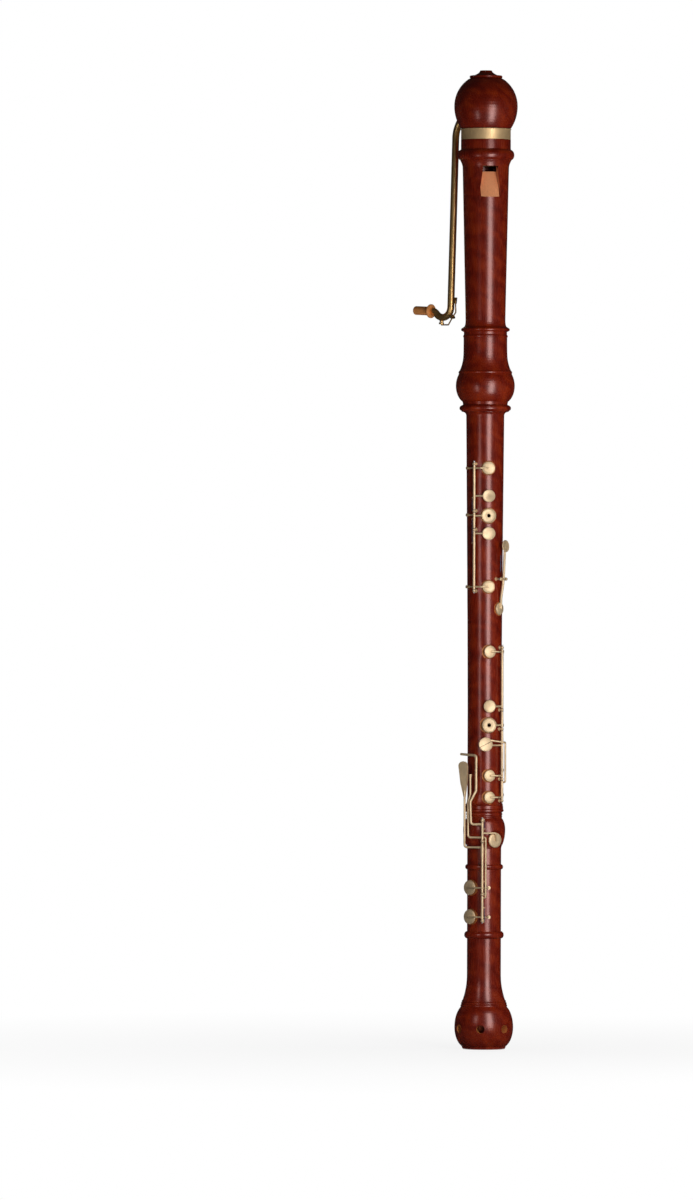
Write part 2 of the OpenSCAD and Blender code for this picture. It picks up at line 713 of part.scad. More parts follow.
// Needle springs: each is set in a post and ends just short of its key's hook
spring_r = 0.4;
spring_off = 3.1;
spring_len = 16;
hook_gap = 0.3;
function spring_xy(line, side) =
    let (h = polar(line[0], line[1])) h + polar(line[0] + side * 90, spring_off) - polar(line[0], 0.4);
module spring(line, side, z, reach) {
    translate(at_z(spring_xy(line, side), min(z, z + reach))) cylinder(h = abs(reach), r = spring_r, $fn = 24);
    h = polar(line[0], line[1]);
    rod_between(at_z(h + (spring_xy(line, side) - h) * 0.8, z), at_z(spring_xy(line, side), z), 0.6);
}
module hook(line, side, z, reach) {
    h = polar(line[0], line[1]);
    tip = spring_xy(line, side);
    hook_z = z + reach + sign(reach) * (hook_gap + 0.6);
    rod_between(at_z(h + (tip - h) * 0.5, hook_z), at_z(h + (tip - h) * 1.15, hook_z), 0.6);
}
// Each entry: the post's height, and how far the spring reaches up or down from it
upper_spring_at = [
    [upper_post_z[1], spring_len], [upper_post_z[2], 13], [upper_post_z[2], -spring_len]
];
lower_spring_at = [
    [lower_post_z[1], spring_len], [lower_post_z[1], -13], [lower_post_z[2], -12], [lower_post_z[3], -12]
];
foot_spring_at = [[foot_post_z[2], spring_len], [foot_post_z[3], spring_len], [foot_post_z[0], -10]];
module upper_springs() color(steel) for (s = upper_spring_at) spring(upper_line, -1, s[0], s[1]);
module lower_springs() color(steel) for (s = lower_spring_at) spring(lower_line, 1, s[0], s[1]);
module foot_springs() color(steel) for (s = foot_spring_at) spring(foot_line, 1, s[0], s[1]);

module upper_stop_corks() color(cork) for (s = upper_stops) stop_cork(s[0], s[1], middle_r(s[1]), upper_stop_y);
module lower_stop_corks() color(cork) for (s = lower_stops) stop_cork(s[0], s[1], middle_r(s[1]), lower_stop_y);
module foot_stop_corks() color(cork) for (s = foot_stops) stop_cork(s[0], s[1], foot_r, foot_stop_y);

// Keys

// A cup, its +Z pointing away from the seat, with its rim just over the seat
module cup_shape(r) {
    rotate_extrude($fn = 96)
        polygon(concat(
            [
                [0, pad_gap + pad_h + 0.05], [r - cup_wall, pad_gap + pad_h + 0.05],
                [r - cup_wall, pad_gap + 0.9], [r - 0.2, pad_gap + 0.7], [r, pad_gap + 1]
            ],
            oval(r - 1.2, pad_gap + 2.1, 1.2, 1, 0, 90, 4),
            oval(0, pad_gap + cup_h, r - 1.4, 0.7, 0, 90, 6)
        ));
}
module cup_at(cup, seat) outward(cup[0], cup[1], seat) cup_shape(cup[2]);
module pad_at(cup, seat, hole_r = 0) {
    color(leather)
        outward(cup[0], cup[1], seat + pad_gap)
            difference() {
                cylinder(h = pad_h, r = cup[2] - cup_wall - 0.05);
                if (hole_r > 0) translate([0, 0, -1]) cylinder(h = pad_h + 2, r = hole_r);
            }
}
// A perforated plate with a raised rim and a finger hole
module plate_at(cup, seat, hole_r) {
    r = cup[2];
    outward(cup[0], cup[1], seat)
        rotate_extrude($fn = 96)
            polygon([
                [hole_r, pad_gap + pad_h + 0.05], [r - cup_wall, pad_gap + pad_h + 0.05],
                [r - cup_wall, pad_gap + 0.9], [r, pad_gap + 0.9], [r, pad_gap + 3.6], [r - 0.5, pad_gap + 4],
                [r - 1.3, pad_gap + 3.6], [r - 1.6, pad_gap + 3.1], [hole_r + 1, pad_gap + 3.1],
                [hole_r + 0.6, pad_gap + 3.5], [hole_r, pad_gap + 3.4]
            ]);
}
// A round finger touch with a slightly raised rim
touch_lift = 1.2;
module touch_shape(r) {
    rotate_extrude($fn = 96)
        polygon([
            [0, 0], [r - 0.8, 0], [r, 0.7], [r, 1.4], [r - 0.6, 1.8], [r - 1.6, 1.4], [0, 1.2]
        ]);
}
module touch_at(touch, wood_r, r) outward(touch[0], touch[1], wood_r + touch_lift) touch_shape(r);

// An arm from a hinge line over the top of a cup to its middle
arm_top = pad_gap + cup_h + 1.2;
module cup_arm(line, cup, seat, side) {
    h = local_xy(polar(line[0], line[1]), cup[0]);
    y = -(seat + arm_top);
    at(cup[0])
        wire([[h[0], h[1], cup[1]], [side * (cup[2] + 2.5), y, cup[1]], [0, y, cup[1]]], arm_r, arm_bend);
}
// An arm from a hinge line to the edge of a touch
module touch_arm(line, touch, wood_r, edge, dz = 0) {
    h = local_xy(polar(line[0], line[1]), touch[0]);
    at(touch[0])
        rod_between([h[0], h[1], touch[1] + dz], [edge, -(wood_r + touch_lift + 1.1), touch[1] + dz], arm_r);
}
// A plate's short arm, which meets its rim
module plate_arm(line, cup, seat, side) {
    h = local_xy(polar(line[0], line[1]), cup[0]);
    at(cup[0])
        rod_between([h[0], h[1], cup[1]], [side * (cup[2] - 0.6), -(seat + pad_gap + 3.75), cup[1]], arm_r);
}
// A key's foot over its stop cork
stop_slack = 0.05;
module stop_foot(line, stop, top_y, rise = 1.22) {
    h = polar(line[0], line[1]);
    outward(stop[0], stop[1], top_y + stop_slack) cylinder(h = 1.3, r = stop_r + 0.3);
    rod_between(at_z(h, stop[1]), at_z(polar(stop[0], top_y + rise), stop[1]), 0.8);
}

// A length of hinge tube
tube_gap = 0.2;
module tube(line, z_low, z_high) {
    at_line(line, z_low + ball_post_r + tube_gap)
        cylinder(h = z_high - z_low - 2 * (ball_post_r + tube_gap), r = tube_r);
}
// Takes the rod's way out of a key
module on_rod(line, z_low, z_high) {
    difference() {
        union() children();
        at_line(line, z_low - 5) cylinder(h = z_high - z_low + 10, r = rod_r + hinge_fit);
    }
}

module key_1() {
    color(gold)
        on_rod(upper_line, upper_post_z[1], upper_post_z[0]) {
            swung(upper_line, -open_angle) {
                cup_at(cup1, seat1);
                cup_arm(upper_line, cup1, seat1, -1);
                touch_at(touch1, middle_r(touch1[1]), touch_r);
                touch_arm(upper_line, touch1, middle_r(touch1[1]), 1.2 - touch_r);
            }
            tube(upper_line, upper_post_z[1], upper_post_z[0]);
            stop_foot(upper_line, upper_stops[0], upper_stop_y, 1.6);
            hook(upper_line, -1, upper_spring_at[0][0], upper_spring_at[0][1]);
        }
}
module key_2_plate() {
    color(gold)
        on_rod(upper_line, upper_post_z[2], upper_post_z[1]) {
            swung(upper_line, -open_angle) {
                plate_at(plate2, seat2, 2.2);
                plate_arm(upper_line, plate2, seat2, -1);
            }
            tube(upper_line, upper_post_z[2], upper_post_z[1]);
            stop_foot(upper_line, upper_stops[1], upper_stop_y, 1.6);
            hook(upper_line, -1, upper_spring_at[1][0], upper_spring_at[1][1]);
        }
}
module key_3() {
    color(gold)
        on_rod(upper_line, upper_post_z[3], upper_post_z[2]) {
            swung(upper_line, -open_angle) {
                cup_at(cup3, seat3);
                cup_arm(upper_line, cup3, seat3, -1);
                touch_at(touch3, middle_r(touch3[1]), touch_r + 0.3);
                touch_arm(upper_line, touch3, middle_r(touch3[1]), 1.2 - touch_r);
            }
            tube(upper_line, upper_post_z[3], upper_post_z[2]);
            stop_foot(upper_line, upper_stops[2], upper_stop_y, 1.6);
            hook(upper_line, -1, upper_spring_at[2][0], upper_spring_at[2][1]);
        }
}

// See-saw key: it rocks on a pin across two posts, and its cup is held shut by a leaf spring
seesaw_y = middle_low_r + 6.6;
seesaw_touch_dz = 42;
seesaw_pin_r = 0.9;
barrel_len = 8;
seesaw_post_x = barrel_len / 2 + ball_post_r + 0.15;
seesaw_flange_y = sqrt(pow(middle_r(seesaw_z), 2) - pow(seesaw_post_x + flange_r, 2)) - 0.1;
module seesaw_seats() {
    for (s = [-1, 1])
        outward(seesaw_angle, seesaw_z, seesaw_flange_y) translate([s * seesaw_post_x, 0, 0]) {
            cylinder(h = 12, r = flange_r + 0.1);
            translate([0, 0, -4.7]) cylinder(h = 12, r = shank_r + pin_slack);
        }
}
module at_seesaw() at(seesaw_angle) translate([0, -seesaw_y, seesaw_z]) children();
module seesaw_bore(r) at_seesaw() translate([-20, 0, 0]) rotate([0, 90, 0]) cylinder(h = 40, r = r);
module seesaw_posts() {
    color(gold)
        difference() {
            for (s = [-1, 1]) {
                outward(seesaw_angle, seesaw_z, seesaw_flange_y) translate([s * seesaw_post_x, 0, 0]) {
                    cylinder(h = 0.9, r = flange_r);
                    translate([0, 0, -4.5]) cylinder(h = seesaw_y - seesaw_flange_y + 4.5, r = shank_r);
                }
                at_seesaw() translate([s * seesaw_post_x, 0, 0]) sphere(r = ball_post_r);
            }
            seesaw_bore(seesaw_pin_r + pin_slack);
        }
}
module seesaw_pin() {
    half = seesaw_post_x + ball_post_r + 0.5;
    color(steel) at_seesaw() translate([-half, 0, 0]) rotate([0, 90, 0]) cylinder(h = 2 * half, r = seesaw_pin_r);
}
seesaw_leaf_r = 0.5;
module key_seesaw() {
    seat_top = seat_ss + arm_top - 0.3;
    color(gold)
        difference() {
            union() {
                cup_at(seesaw_cup, seat_ss);
                at_seesaw() {
                    translate([-barrel_len / 2, 0, 0]) rotate([0, 90, 0]) cylinder(h = barrel_len, r = 2);
                    wire([
                        [0, -2.6, seesaw_touch_dz], [0, -0.6, 3],
                        [0, 0.2, -6], [0, seesaw_y - seat_top, -25], [0, seesaw_y - seat_top, -38]
                    ], 1.6, 3);
                    translate([0, -2.6, seesaw_touch_dz]) rotate([86, 0, 0]) touch_shape(7.7);
                }
            }
            seesaw_bore(seesaw_pin_r + hinge_fit);
        }
}
module seesaw_spring() {
    color(steel)
        at_seesaw()
            wire([[0, 4.3, 9.5], [0, 4.3, 13], [0, 3.7, 31]], seesaw_leaf_r, 2);
}

module key_4() {
    color(gold)
        on_rod(lower_line, lower_post_z[1], lower_post_z[0]) {
            swung(lower_line, open_angle) {
                cup_at(cup4, seat4);
                cup_arm(lower_line, cup4, seat4, 1);
                touch_at(touch4, middle_r(touch4[1]), touch_r);
                touch_arm(lower_line, touch4, middle_r(touch4[1]), touch_r - 1.2);
            }
            tube(lower_line, lower_post_z[1], lower_post_z[0]);
            stop_foot(lower_line, lower_stops[0], lower_stop_y);
            hook(lower_line, 1, lower_spring_at[0][0], lower_spring_at[0][1]);
        }
}
module key_5_plate() {
    color(gold)
        on_rod(lower_line, lower_post_z[2], lower_post_z[1]) {
            swung(lower_line, open_angle) {
                plate_at(plate5, seat5, 2.5);
                plate_arm(lower_line, plate5, seat5, 1);
            }
            tube(lower_line, lower_post_z[2], lower_post_z[1]);
            stop_foot(lower_line, lower_stops[1], lower_stop_y);
            hook(lower_line, 1, lower_spring_at[1][0], lower_spring_at[1][1]);
        }
}

// One half of the split touch: side +1 is the upper half
module half_touch(side) {
    difference() {
        touch_at(split_touch, middle_r(split_touch[1]), split_touch_r);
        outward(split_touch[0], split_touch[1], 10)
            rotate([0, 0, split_slope])
                translate([-20, side > 0 ? -40 + 0.3 : -0.3, 0]) cube([40, 40, 30]);
    }
}
module key_6a() {
    color(gold)
        on_rod(lower_line, lower_post_z[3], lower_post_z[2]) {
            swung(lower_line, open_angle) {
                cup_at(cup6a, seat6a);
                cup_arm(lower_line, cup6a, seat6a, 1);
                half_touch(-1);
                touch_arm(lower_line, split_touch, middle_r(split_touch[1]), split_touch_r - 1.6, -1.2);
            }
            tube(lower_line, lower_post_z[3], lower_post_z[2]);
            stop_foot(lower_line, lower_stops[2], lower_stop_y);
            hook(lower_line, 1, lower_spring_at[2][0], lower_spring_at[2][1]);
        }
}
outrigger = 4.5;
module key_6b() {
    wood_r = middle_r(split_touch[1]);
    out = polar(lower_line[0], lower_line[1] + outrigger);
    over = polar(lower_line[0] - 10, lower_line[1] + outrigger);
    z_arm = split_touch[1] + 2.4;
    z_link = lower_post_z[3] - ball_post_r - 2;
    edge = split_touch_r - 2.8;
    landing = polar(split_touch[0], wood_r + touch_lift + 0.9) + edge * [cos(split_touch[0]), sin(split_touch[0])];
    color(gold)
        on_rod(lower_line, lower_post_z[4], lower_post_z[3]) {
            swung(lower_line, open_angle) {
                cup_at(cup6b, seat6b);
                cup_arm(lower_line, cup6b, seat6b, 1);
                half_touch(1);
                wire([
                    at_z(polar(lower_line[0], lower_line[1]), z_link), at_z(out, z_link),
                    at_z(out, z_arm), at_z(over, z_arm + 0.3), at_z(landing, split_touch[1] + 5.2)
                ], arm_r, 1.6);
            }
            tube(lower_line, lower_post_z[4], lower_post_z[3]);
            stop_foot(lower_line, lower_stops[3], lower_stop_y);
            hook(lower_line, 1, lower_spring_at[3][0], lower_spring_at[3][1]);
        }
}

// Foot keys: long levers run up past the middle joint to the little finger
lever_a = polar(-61.6, foot_r + 11.3);
lever_b = polar(-52.3, foot_r + 10.3);
lever_c = polar(-43.2, foot_r + 11.3);
lever_bend = 3.5;
foot_hinge = polar(foot_line[0], foot_line[1]);
lever_c_z = foot_post_z[0] - 5;
lever_b_z = foot_post_z[1] + 5;
lever_a_z = foot_post_z[1] - 7.6;
spatula_z0 = foot_top + 11;
spatula_z1 = foot_top + 56.5;

module key_7c() {
    knee = polar(-44.3, foot_r + 11.8);
    top = polar(-34, foot_r + 6.3);
    far = polar(-82, foot_r + 10.3);
    color(gold)
        on_rod(foot_line, foot_post_z[1] + 5, foot_post_z[0]) {
            cup_at(cup7c, seat7c);
            arm7c();
            wire([
                at_z(foot_hinge, lever_c_z), at_z(lever_c, lever_c_z), at_z(knee, foot_top + 5),
                at_z(top, foot_top + 19), at_z(top, foot_top + 64), at_z(far, foot_top + 65.5)
            ], lever_r + 0.25, lever_bend);
            at_line(foot_line, lever_b_z + 2.9)
                cylinder(h = foot_post_z[0] - lever_b_z - 2.9 - ball_post_r - tube_gap, r = tube_r);
            hook(foot_line, 1, foot_spring_at[2][0], foot_spring_at[2][1]);
        }
}
// The arm of the foot's upper cup comes off its tube above the cup and turns down over it
module arm7c() {
    h = local_xy(foot_hinge, cup7c[0]);
    y = -(seat7c + arm_top);
    z = cup7c[1] + 9;
    at(cup7c[0]) wire([[h[0], h[1], z], [-1.5, y - 1.9, z], [0, y, cup7c[1] - 1]], arm_r, arm_bend);
}
// A leaf-shaped finger plate on a lever: w0 wide to its left and w1 to its right
module spatula(p, z0, z1, w0, w1, aim) {
    w = (w0 + w1) / 2;
    translate(at_z(p, 0)) rotate([0, 0, aim]) translate([0, 1, 0]) rotate([90, 0, 0])
        linear_extrude(height = 1.8)
            polygon(concat(
                [[1.2, z0], [w1, z0 + (z1 - z0) * 0.5]],
                [for (i = [0:6]) let (t = i * 30) [(w1 - w0) / 2 + w * cos(t), z1 - w * 0.8 + w * 0.8 * sin(t)]],
                [[-w0 * 0.65, z0 + (z1 - z0) * 0.38], [-1.2, z0]]
            ));
}
module key_7a() {
    color(gold)
        on_rod(foot_line, foot_post_z[2], foot_post_z[1]) {
            swung(foot_line, open_angle) {
                cup_at(cup7a, seat7a);
                cup_arm(foot_line, cup7a, seat7a, 1);
            }
            wire([
                at_z(foot_hinge, lever_a_z), at_z(lever_a, lever_a_z), at_z(lever_a, spatula_z0 + 8)
            ], lever_r, lever_bend);
            spatula(lever_a, spatula_z0, spatula_z1, 9.2, 4.5, -44);
            at_line(foot_line, lever_a_z - 16) cylinder(h = 16, r1 = tube_r + 0.05, r2 = tube_r + 0.8);
            tube(foot_line, foot_post_z[2], foot_post_z[1]);
            stop_foot(foot_line, foot_stops[0], foot_stop_y);
            hook(foot_line, 1, foot_spring_at[0][0], foot_spring_at[0][1]);
        }
}
bridge = polar(foot_line[0] + 8, foot_line[1] + 1.7);
module key_7b() {
    z_low = foot_post_z[2] - ball_post_r - 2;
    top_z = foot_top + 40;
    knee = at_z(polar(-46.9, foot_r + 9.8), foot_top + 15);
    color(gold)
        on_rod(foot_line, foot_post_z[3], foot_post_z[0]) {
            swung(foot_line, open_angle) {
                cup_at(cup7b, seat7b);
                cup_arm(foot_line, cup7b, seat7b, 1);
            }
            wire([
                at_z(foot_hinge, lever_b_z), at_z(lever_b, lever_b_z), at_z(lever_b, foot_top + 4.5),
                knee, [knee[0], knee[1], top_z]
            ], lever_r, lever_bend);
            translate([knee[0], knee[1], top_z - 5]) cylinder(h = 5, r1 = lever_r + 0.1, r2 = 2.1);
            wire([
                at_z(foot_hinge, lever_b_z), at_z(bridge, lever_b_z), at_z(bridge, z_low), at_z(foot_hinge, z_low)
            ], arm_r, 1.6);
            at_line(foot_line, foot_post_z[1] + ball_post_r + tube_gap)
                cylinder(h = lever_b_z + 2.7 - foot_post_z[1] - ball_post_r - tube_gap, r = tube_r);
            tube(foot_line, foot_post_z[3], foot_post_z[2]);
            stop_foot(foot_line, foot_stops[1], foot_stop_y);
            hook(foot_line, 1, foot_spring_at[1][0], foot_spring_at[1][1]);
        }
}

module pad_1() swung(upper_line, -open_angle) pad_at(cup1, seat1);
module pad_2() swung(upper_line, -open_angle) pad_at(plate2, seat2, 2.4);
module pad_3() swung(upper_line, -open_angle) pad_at(cup3, seat3);
module pad_seesaw() pad_at(seesaw_cup, seat_ss);
module pad_4() swung(lower_line, open_angle) pad_at(cup4, seat4);
module pad_5() swung(lower_line, open_angle) pad_at(plate5, seat5, 2.7);
module pad_6a() swung(lower_line, open_angle) pad_at(cup6a, seat6a);
module pad_6b() swung(lower_line, open_angle) pad_at(cup6b, seat6b);
module pad_7a() swung(foot_line, open_angle) pad_at(cup7a, seat7a);
module pad_7b() swung(foot_line, open_angle) pad_at(cup7b, seat7b);
module pad_7c() pad_at(cup7c, seat7c);

// Bocal: its path lies in one upright plane, as a distance u from the axis and a height

module bocal_socket() {
    color(old_gold)
        at_socket()
            difference() {
                union() {
                    translate([0, 0, 0.04 - socket_in]) cylinder(h = socket_in, r = socket_bore_r + socket_wall);
                    translate([0, 0, -0.5]) cylinder(h = socket_out, r = socket_bore_r + socket_wall + 1.5);
                }
                translate([0, 0, -socket_in - 1]) cylinder(h = socket_in + 5, r = socket_bore_r);
            }
}
module bocal_cork() {
    color(cork)
        at_socket()
            translate([0, 0, -socket_in + 1])
                difference() {
                    cylinder(h = socket_in - 1, r = bocal_r + bocal_cork_t);
                    translate([0, 0, -1]) cylinder(h = socket_in + 2, r = bocal_r + 0.02);
                }
}

run_dir = -88;
first_bend_r = 38;
second_bend_r = 10;
mouth_dir = 3;
rise_dir = 45;
function dir(a) = [cos(a), sin(a)];
start_uz = [socket_u, socket_z] - (socket_in + 1) * dir(-socket_tilt);
bend1_uz = [socket_u, socket_z] + 2.4 * dir(-socket_tilt);
bend1_c = bend1_uz + first_bend_r * dir(-socket_tilt - 90);
run0_uz = bend1_c + first_bend_r * dir(run_dir + 90);
run1_uz = run0_uz + bocal_run * dir(run_dir);
bend2_c = run1_uz + bocal_bend_r * dir(run_dir + 90);
rise0_uz = bend2_c + bocal_bend_r * dir(rise_dir - 90);
rise1_uz = rise0_uz + 2 * dir(rise_dir);
bend3_c = rise1_uz + second_bend_r * dir(rise_dir - 90);
mouth0_uz = bend3_c + second_bend_r * dir(mouth_dir + 90);
mouth1_uz = mouth0_uz + 9 * dir(mouth_dir);

// Puts the children's XY plane on the bocal's plane, with X as the distance from the axis and Y as the height
module in_bocal_plane() at(bocal_phi) rotate([0, 0, -90]) rotate([90, 0, 0]) children();

module bocal_run_solid(p, q, r, before, after) {
    d = unit(q - p);
    a = p - before * d;
    translate([a[0], a[1], 0]) rotate([0, 0, atan2(d[1], d[0])]) rotate([0, 90, 0])
        cylinder(h = norm(q - p) + before + after, r = r);
}
module bocal_bend_solid(c, bend, a0, a1, r) {
    translate([c[0], c[1], 0]) rotate([0, 0, a0]) rotate_extrude(angle = a1 - a0, $fn = 96)
        translate([bend, 0]) circle(r = r, $fn = 48);
}
// The bocal's whole path as a solid of radius r, with its ends drawn out by a length
module bocal_solid(r, ends) {
    bocal_run_solid(start_uz, bend1_uz, r, ends, lap);
    bocal_bend_solid(bend1_c, first_bend_r, run_dir + 90, 90 - socket_tilt, r + bend_step);
    bocal_run_solid(run0_uz, run1_uz, r, lap, lap);
    bocal_bend_solid(bend2_c, bocal_bend_r, run_dir - 90, rise_dir - 90, r + bend_step);
    bocal_run_solid(rise0_uz, rise1_uz, r, lap, lap);
    bocal_bend_solid(bend3_c, second_bend_r, mouth_dir + 90, rise_dir + 90, r + bend_step);
    bocal_run_solid(mouth0_uz, mouth1_uz, r, lap, ends);
}
module bocal_tube() {
    color(old_gold)
        difference() {
            in_bocal_plane()
                difference() {
                    bocal_solid(bocal_r, 0);
                    bocal_solid(bocal_r - bocal_wall, 1);
                }
            at_water_hole() translate([0, 0, bocal_r - 2.5]) cylinder(h = 5, r = 1.6, $fn = 32);
        }
}

mouth_bore_r = 3.2;
module mouthpiece() {
    color("#8a4a22")
        in_bocal_plane()
            translate([mouth0_uz[0], mouth0_uz[1], 0]) rotate([0, 0, mouth_dir]) rotate([0, 90, 0])
                rotate_extrude($fn = 96)
                    polygon(concat(
                        [
                            [bocal_r + 0.03, 0.6], [7.6, 0.6], [9, 1.8], [9, 3], [8.2, 4.2],
                            [mouth_r + 0.9, 5.2], [mouth_r, 6.2], [mouth_r, 5 + mouth_len - 2]
                        ],
                        oval(mouth_r - 1.6, 5 + mouth_len - 1.6, 1.6, 1.6, 15, 90, 4),
                        [[mouth_bore_r, 5 + mouth_len], [mouth_bore_r, 9.4], [bocal_r + 0.03, 9.4]]
                    ));
}

// Water key: a sprung lever that holds a cork on a small hole in the lowest bend
water_hole_dir = -84;
water_pivot_dir = -140;
water_pivot_r = bocal_bend_r + bocal_r + 3.4;
water_pin_r = 0.9;
nipple_h = 1.2;
// Puts the children's +Z along the outward direction of the bend at the drain hole
module at_water_hole() {
    in_bocal_plane()
        translate([bend2_c[0], bend2_c[1], 0])
            rotate([0, 0, water_hole_dir]) translate([bocal_bend_r, 0, 0]) rotate([0, 90, 0]) children();
}
module at_water_pivot() {
    in_bocal_plane()
        translate([bend2_c[0], bend2_c[1], 0])
            rotate([0, 0, water_pivot_dir]) translate([water_pivot_r, 0, 0]) children();
}
module water_key_saddle() {
    color(old_gold)
        difference() {
            union() {
                for (s = [-1, 1])
                    at_water_pivot()
                        translate([-4.4, -1.7, s > 0 ? 2.2 : -3.4]) cube([4.4, 3.4, 1.2]);
                for (s = [-1, 1])
                    at_water_pivot() translate([0, 0, s > 0 ? 2.2 : -3.4]) cylinder(h = 1.2, r = 1.7, $fn = 32);
                at_water_hole() translate([0, 0, bocal_r - 0.3]) cylinder(h = nipple_h + 0.3, r = 2.6, $fn = 32);
            }
            at_water_pivot() translate([0, 0, -6]) cylinder(h = 12, r = water_pin_r + pin_slack, $fn = 32);
            at_water_hole() translate([0, 0, bocal_r - 4]) cylinder(h = 10, r = 1.6, $fn = 32);
            bocal_core(bocal_r + bend_step + 0.02);
        }
}
// The bend's own space, taken out of what is soldered to it
module bocal_core(r) {
    in_bocal_plane()
        translate([bend2_c[0], bend2_c[1], 0])
            rotate([0, 0, -179]) rotate_extrude(angle = 130, $fn = 96) translate([bocal_bend_r, 0]) circle(r = r, $fn = 48);
}
module water_key_pin() {
    color(steel)
        at_water_pivot() translate([0, 0, -3.9]) cylinder(h = 7.8, r = water_pin_r, $fn = 32);
}
cork_lift = 0.3;
water_cork_h = 2.2;
module water_key() {
    cup_end = bend2_c + (bocal_bend_r + bocal_r + nipple_h + cork_lift + water_cork_h + 1.4) * dir(water_hole_dir);
    pivot = bend2_c + water_pivot_r * dir(water_pivot_dir);
    heel = bend2_c + (water_pivot_r + 1.6) * dir(water_pivot_dir - 22);
    tip = bend2_c + (water_pivot_r + 1.2) * dir(water_pivot_dir - 60);
    knee = bend2_c + (water_pivot_r + 3.6) * dir(water_pivot_dir + 28);
    color(old_gold)
        difference() {
            union() {
                at_water_pivot() translate([0, 0, -2]) cylinder(h = 4, r = 1.8, $fn = 32);
                in_bocal_plane()
                    wire([
                        [cup_end[0], cup_end[1], 0], [knee[0], knee[1], 0], [pivot[0], pivot[1], 0],
                        [heel[0], heel[1], 0], [tip[0], tip[1], 0]
                    ], 0.9, 1);
                in_bocal_plane() translate([tip[0], tip[1], 0]) rotate([0, 0, 8]) {
                    translate([-0.6, -4, -2.5]) cube([1.2, 8, 5]);
                }
                at_water_hole()
                    translate([0, 0, bocal_r + nipple_h + cork_lift + 0.8])
                        difference() {
                            cylinder(h = water_cork_h, r = 3.3, $fn = 48);
                            translate([0, 0, -1]) cylinder(h = water_cork_h + 0.25, r = 2.75, $fn = 48);
                        }
            }
            at_water_pivot() translate([0, 0, -6]) cylinder(h = 12, r = water_pin_r + hinge_fit, $fn = 32);
        }
}
module water_key_cork() {
    color(cork)
        at_water_hole() translate([0, 0, bocal_r + nipple_h + cork_lift]) cylinder(h = water_cork_h, r = 2.7, $fn = 48);
}

foot_joint();
middle_joint();
head_joint();
block();
cap();
cap_band();
lower_tenon_cork();
upper_tenon_cork();
cap_tenon_cork();
thumb_bush();
thumb_rest();
thumb_rest_screws();
sling_plate();
sling_ring();
upper_posts();
lower_posts();
foot_posts();
upper_hinge_rod();
lower_hinge_rod();
foot_hinge_rod();
upper_springs();
lower_springs();
foot_springs();
upper_stop_corks();
lower_stop_corks();
foot_stop_corks();
seesaw_posts();
seesaw_pin();
seesaw_spring();
key_1();
key_2_plate();
key_3();
key_seesaw();
key_4();
key_5_plate();
key_6a();
key_6b();
key_7a();
key_7b();
key_7c();
pad_1();
pad_2();
pad_3();
pad_seesaw();
pad_4();
pad_5();
pad_6a();
pad_6b();
pad_7a();
pad_7b();
pad_7c();
bocal_socket();
bocal_cork();
bocal_tube();
mouthpiece();
water_key_saddle();
water_key_pin();
water_key();
water_key_cork();
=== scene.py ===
"""Finish, soft pieces and stage for a great bass recorder with keys and a bocal."""

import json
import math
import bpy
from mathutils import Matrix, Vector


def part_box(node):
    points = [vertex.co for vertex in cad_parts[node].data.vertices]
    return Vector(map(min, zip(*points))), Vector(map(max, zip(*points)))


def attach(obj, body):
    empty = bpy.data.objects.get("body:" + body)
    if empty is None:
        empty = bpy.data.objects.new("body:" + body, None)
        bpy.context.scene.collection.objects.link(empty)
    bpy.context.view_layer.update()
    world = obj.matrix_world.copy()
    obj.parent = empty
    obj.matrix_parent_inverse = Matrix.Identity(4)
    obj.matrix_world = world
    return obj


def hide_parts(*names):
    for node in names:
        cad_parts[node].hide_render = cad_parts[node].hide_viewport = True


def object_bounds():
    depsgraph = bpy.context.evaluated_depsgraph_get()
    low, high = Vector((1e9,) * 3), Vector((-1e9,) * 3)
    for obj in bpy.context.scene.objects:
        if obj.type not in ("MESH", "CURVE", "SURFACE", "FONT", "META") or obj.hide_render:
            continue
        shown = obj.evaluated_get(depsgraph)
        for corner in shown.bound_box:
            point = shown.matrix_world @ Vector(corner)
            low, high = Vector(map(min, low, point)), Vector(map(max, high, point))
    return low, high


bl_info = {
    "name": "Great bass recorder",
    "version": (1, 0, 0),
    "blender": (4, 5, 0),
    "location": "3D View > Sidebar > Recorder",
    "description": "Finishes the turned wood, keys, pads and bocal of a great bass recorder",
    "category": "Object",
}

import bmesh
import bpy
from bpy.props import FloatProperty, FloatVectorProperty, PointerProperty
from mathutils import Matrix, Vector

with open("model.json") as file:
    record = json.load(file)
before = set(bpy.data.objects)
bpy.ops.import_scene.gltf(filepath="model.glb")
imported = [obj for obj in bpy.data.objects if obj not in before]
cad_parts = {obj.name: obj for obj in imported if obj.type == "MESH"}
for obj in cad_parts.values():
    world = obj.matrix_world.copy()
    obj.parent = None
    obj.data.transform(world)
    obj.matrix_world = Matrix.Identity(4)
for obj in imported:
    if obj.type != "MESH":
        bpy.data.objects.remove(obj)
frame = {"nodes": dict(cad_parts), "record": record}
CAD_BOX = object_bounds()
MM = 0.001
BODY_OF = {n: b for b, members in frame["record"]["behaviour"]["bodies"].items() for n in members}


def colour(name, description, default):
    return FloatVectorProperty(
        name=name, description=description, subtype="COLOR", size=3, min=0, max=1, default=default
    )


def length(name, description, default_mm):
    return FloatProperty(name=name, description=description, unit="LENGTH", min=0, default=default_mm * MM)


def share(name, description, default):
    return FloatProperty(name=name, description=description, subtype="FACTOR", min=0, max=1, default=default)


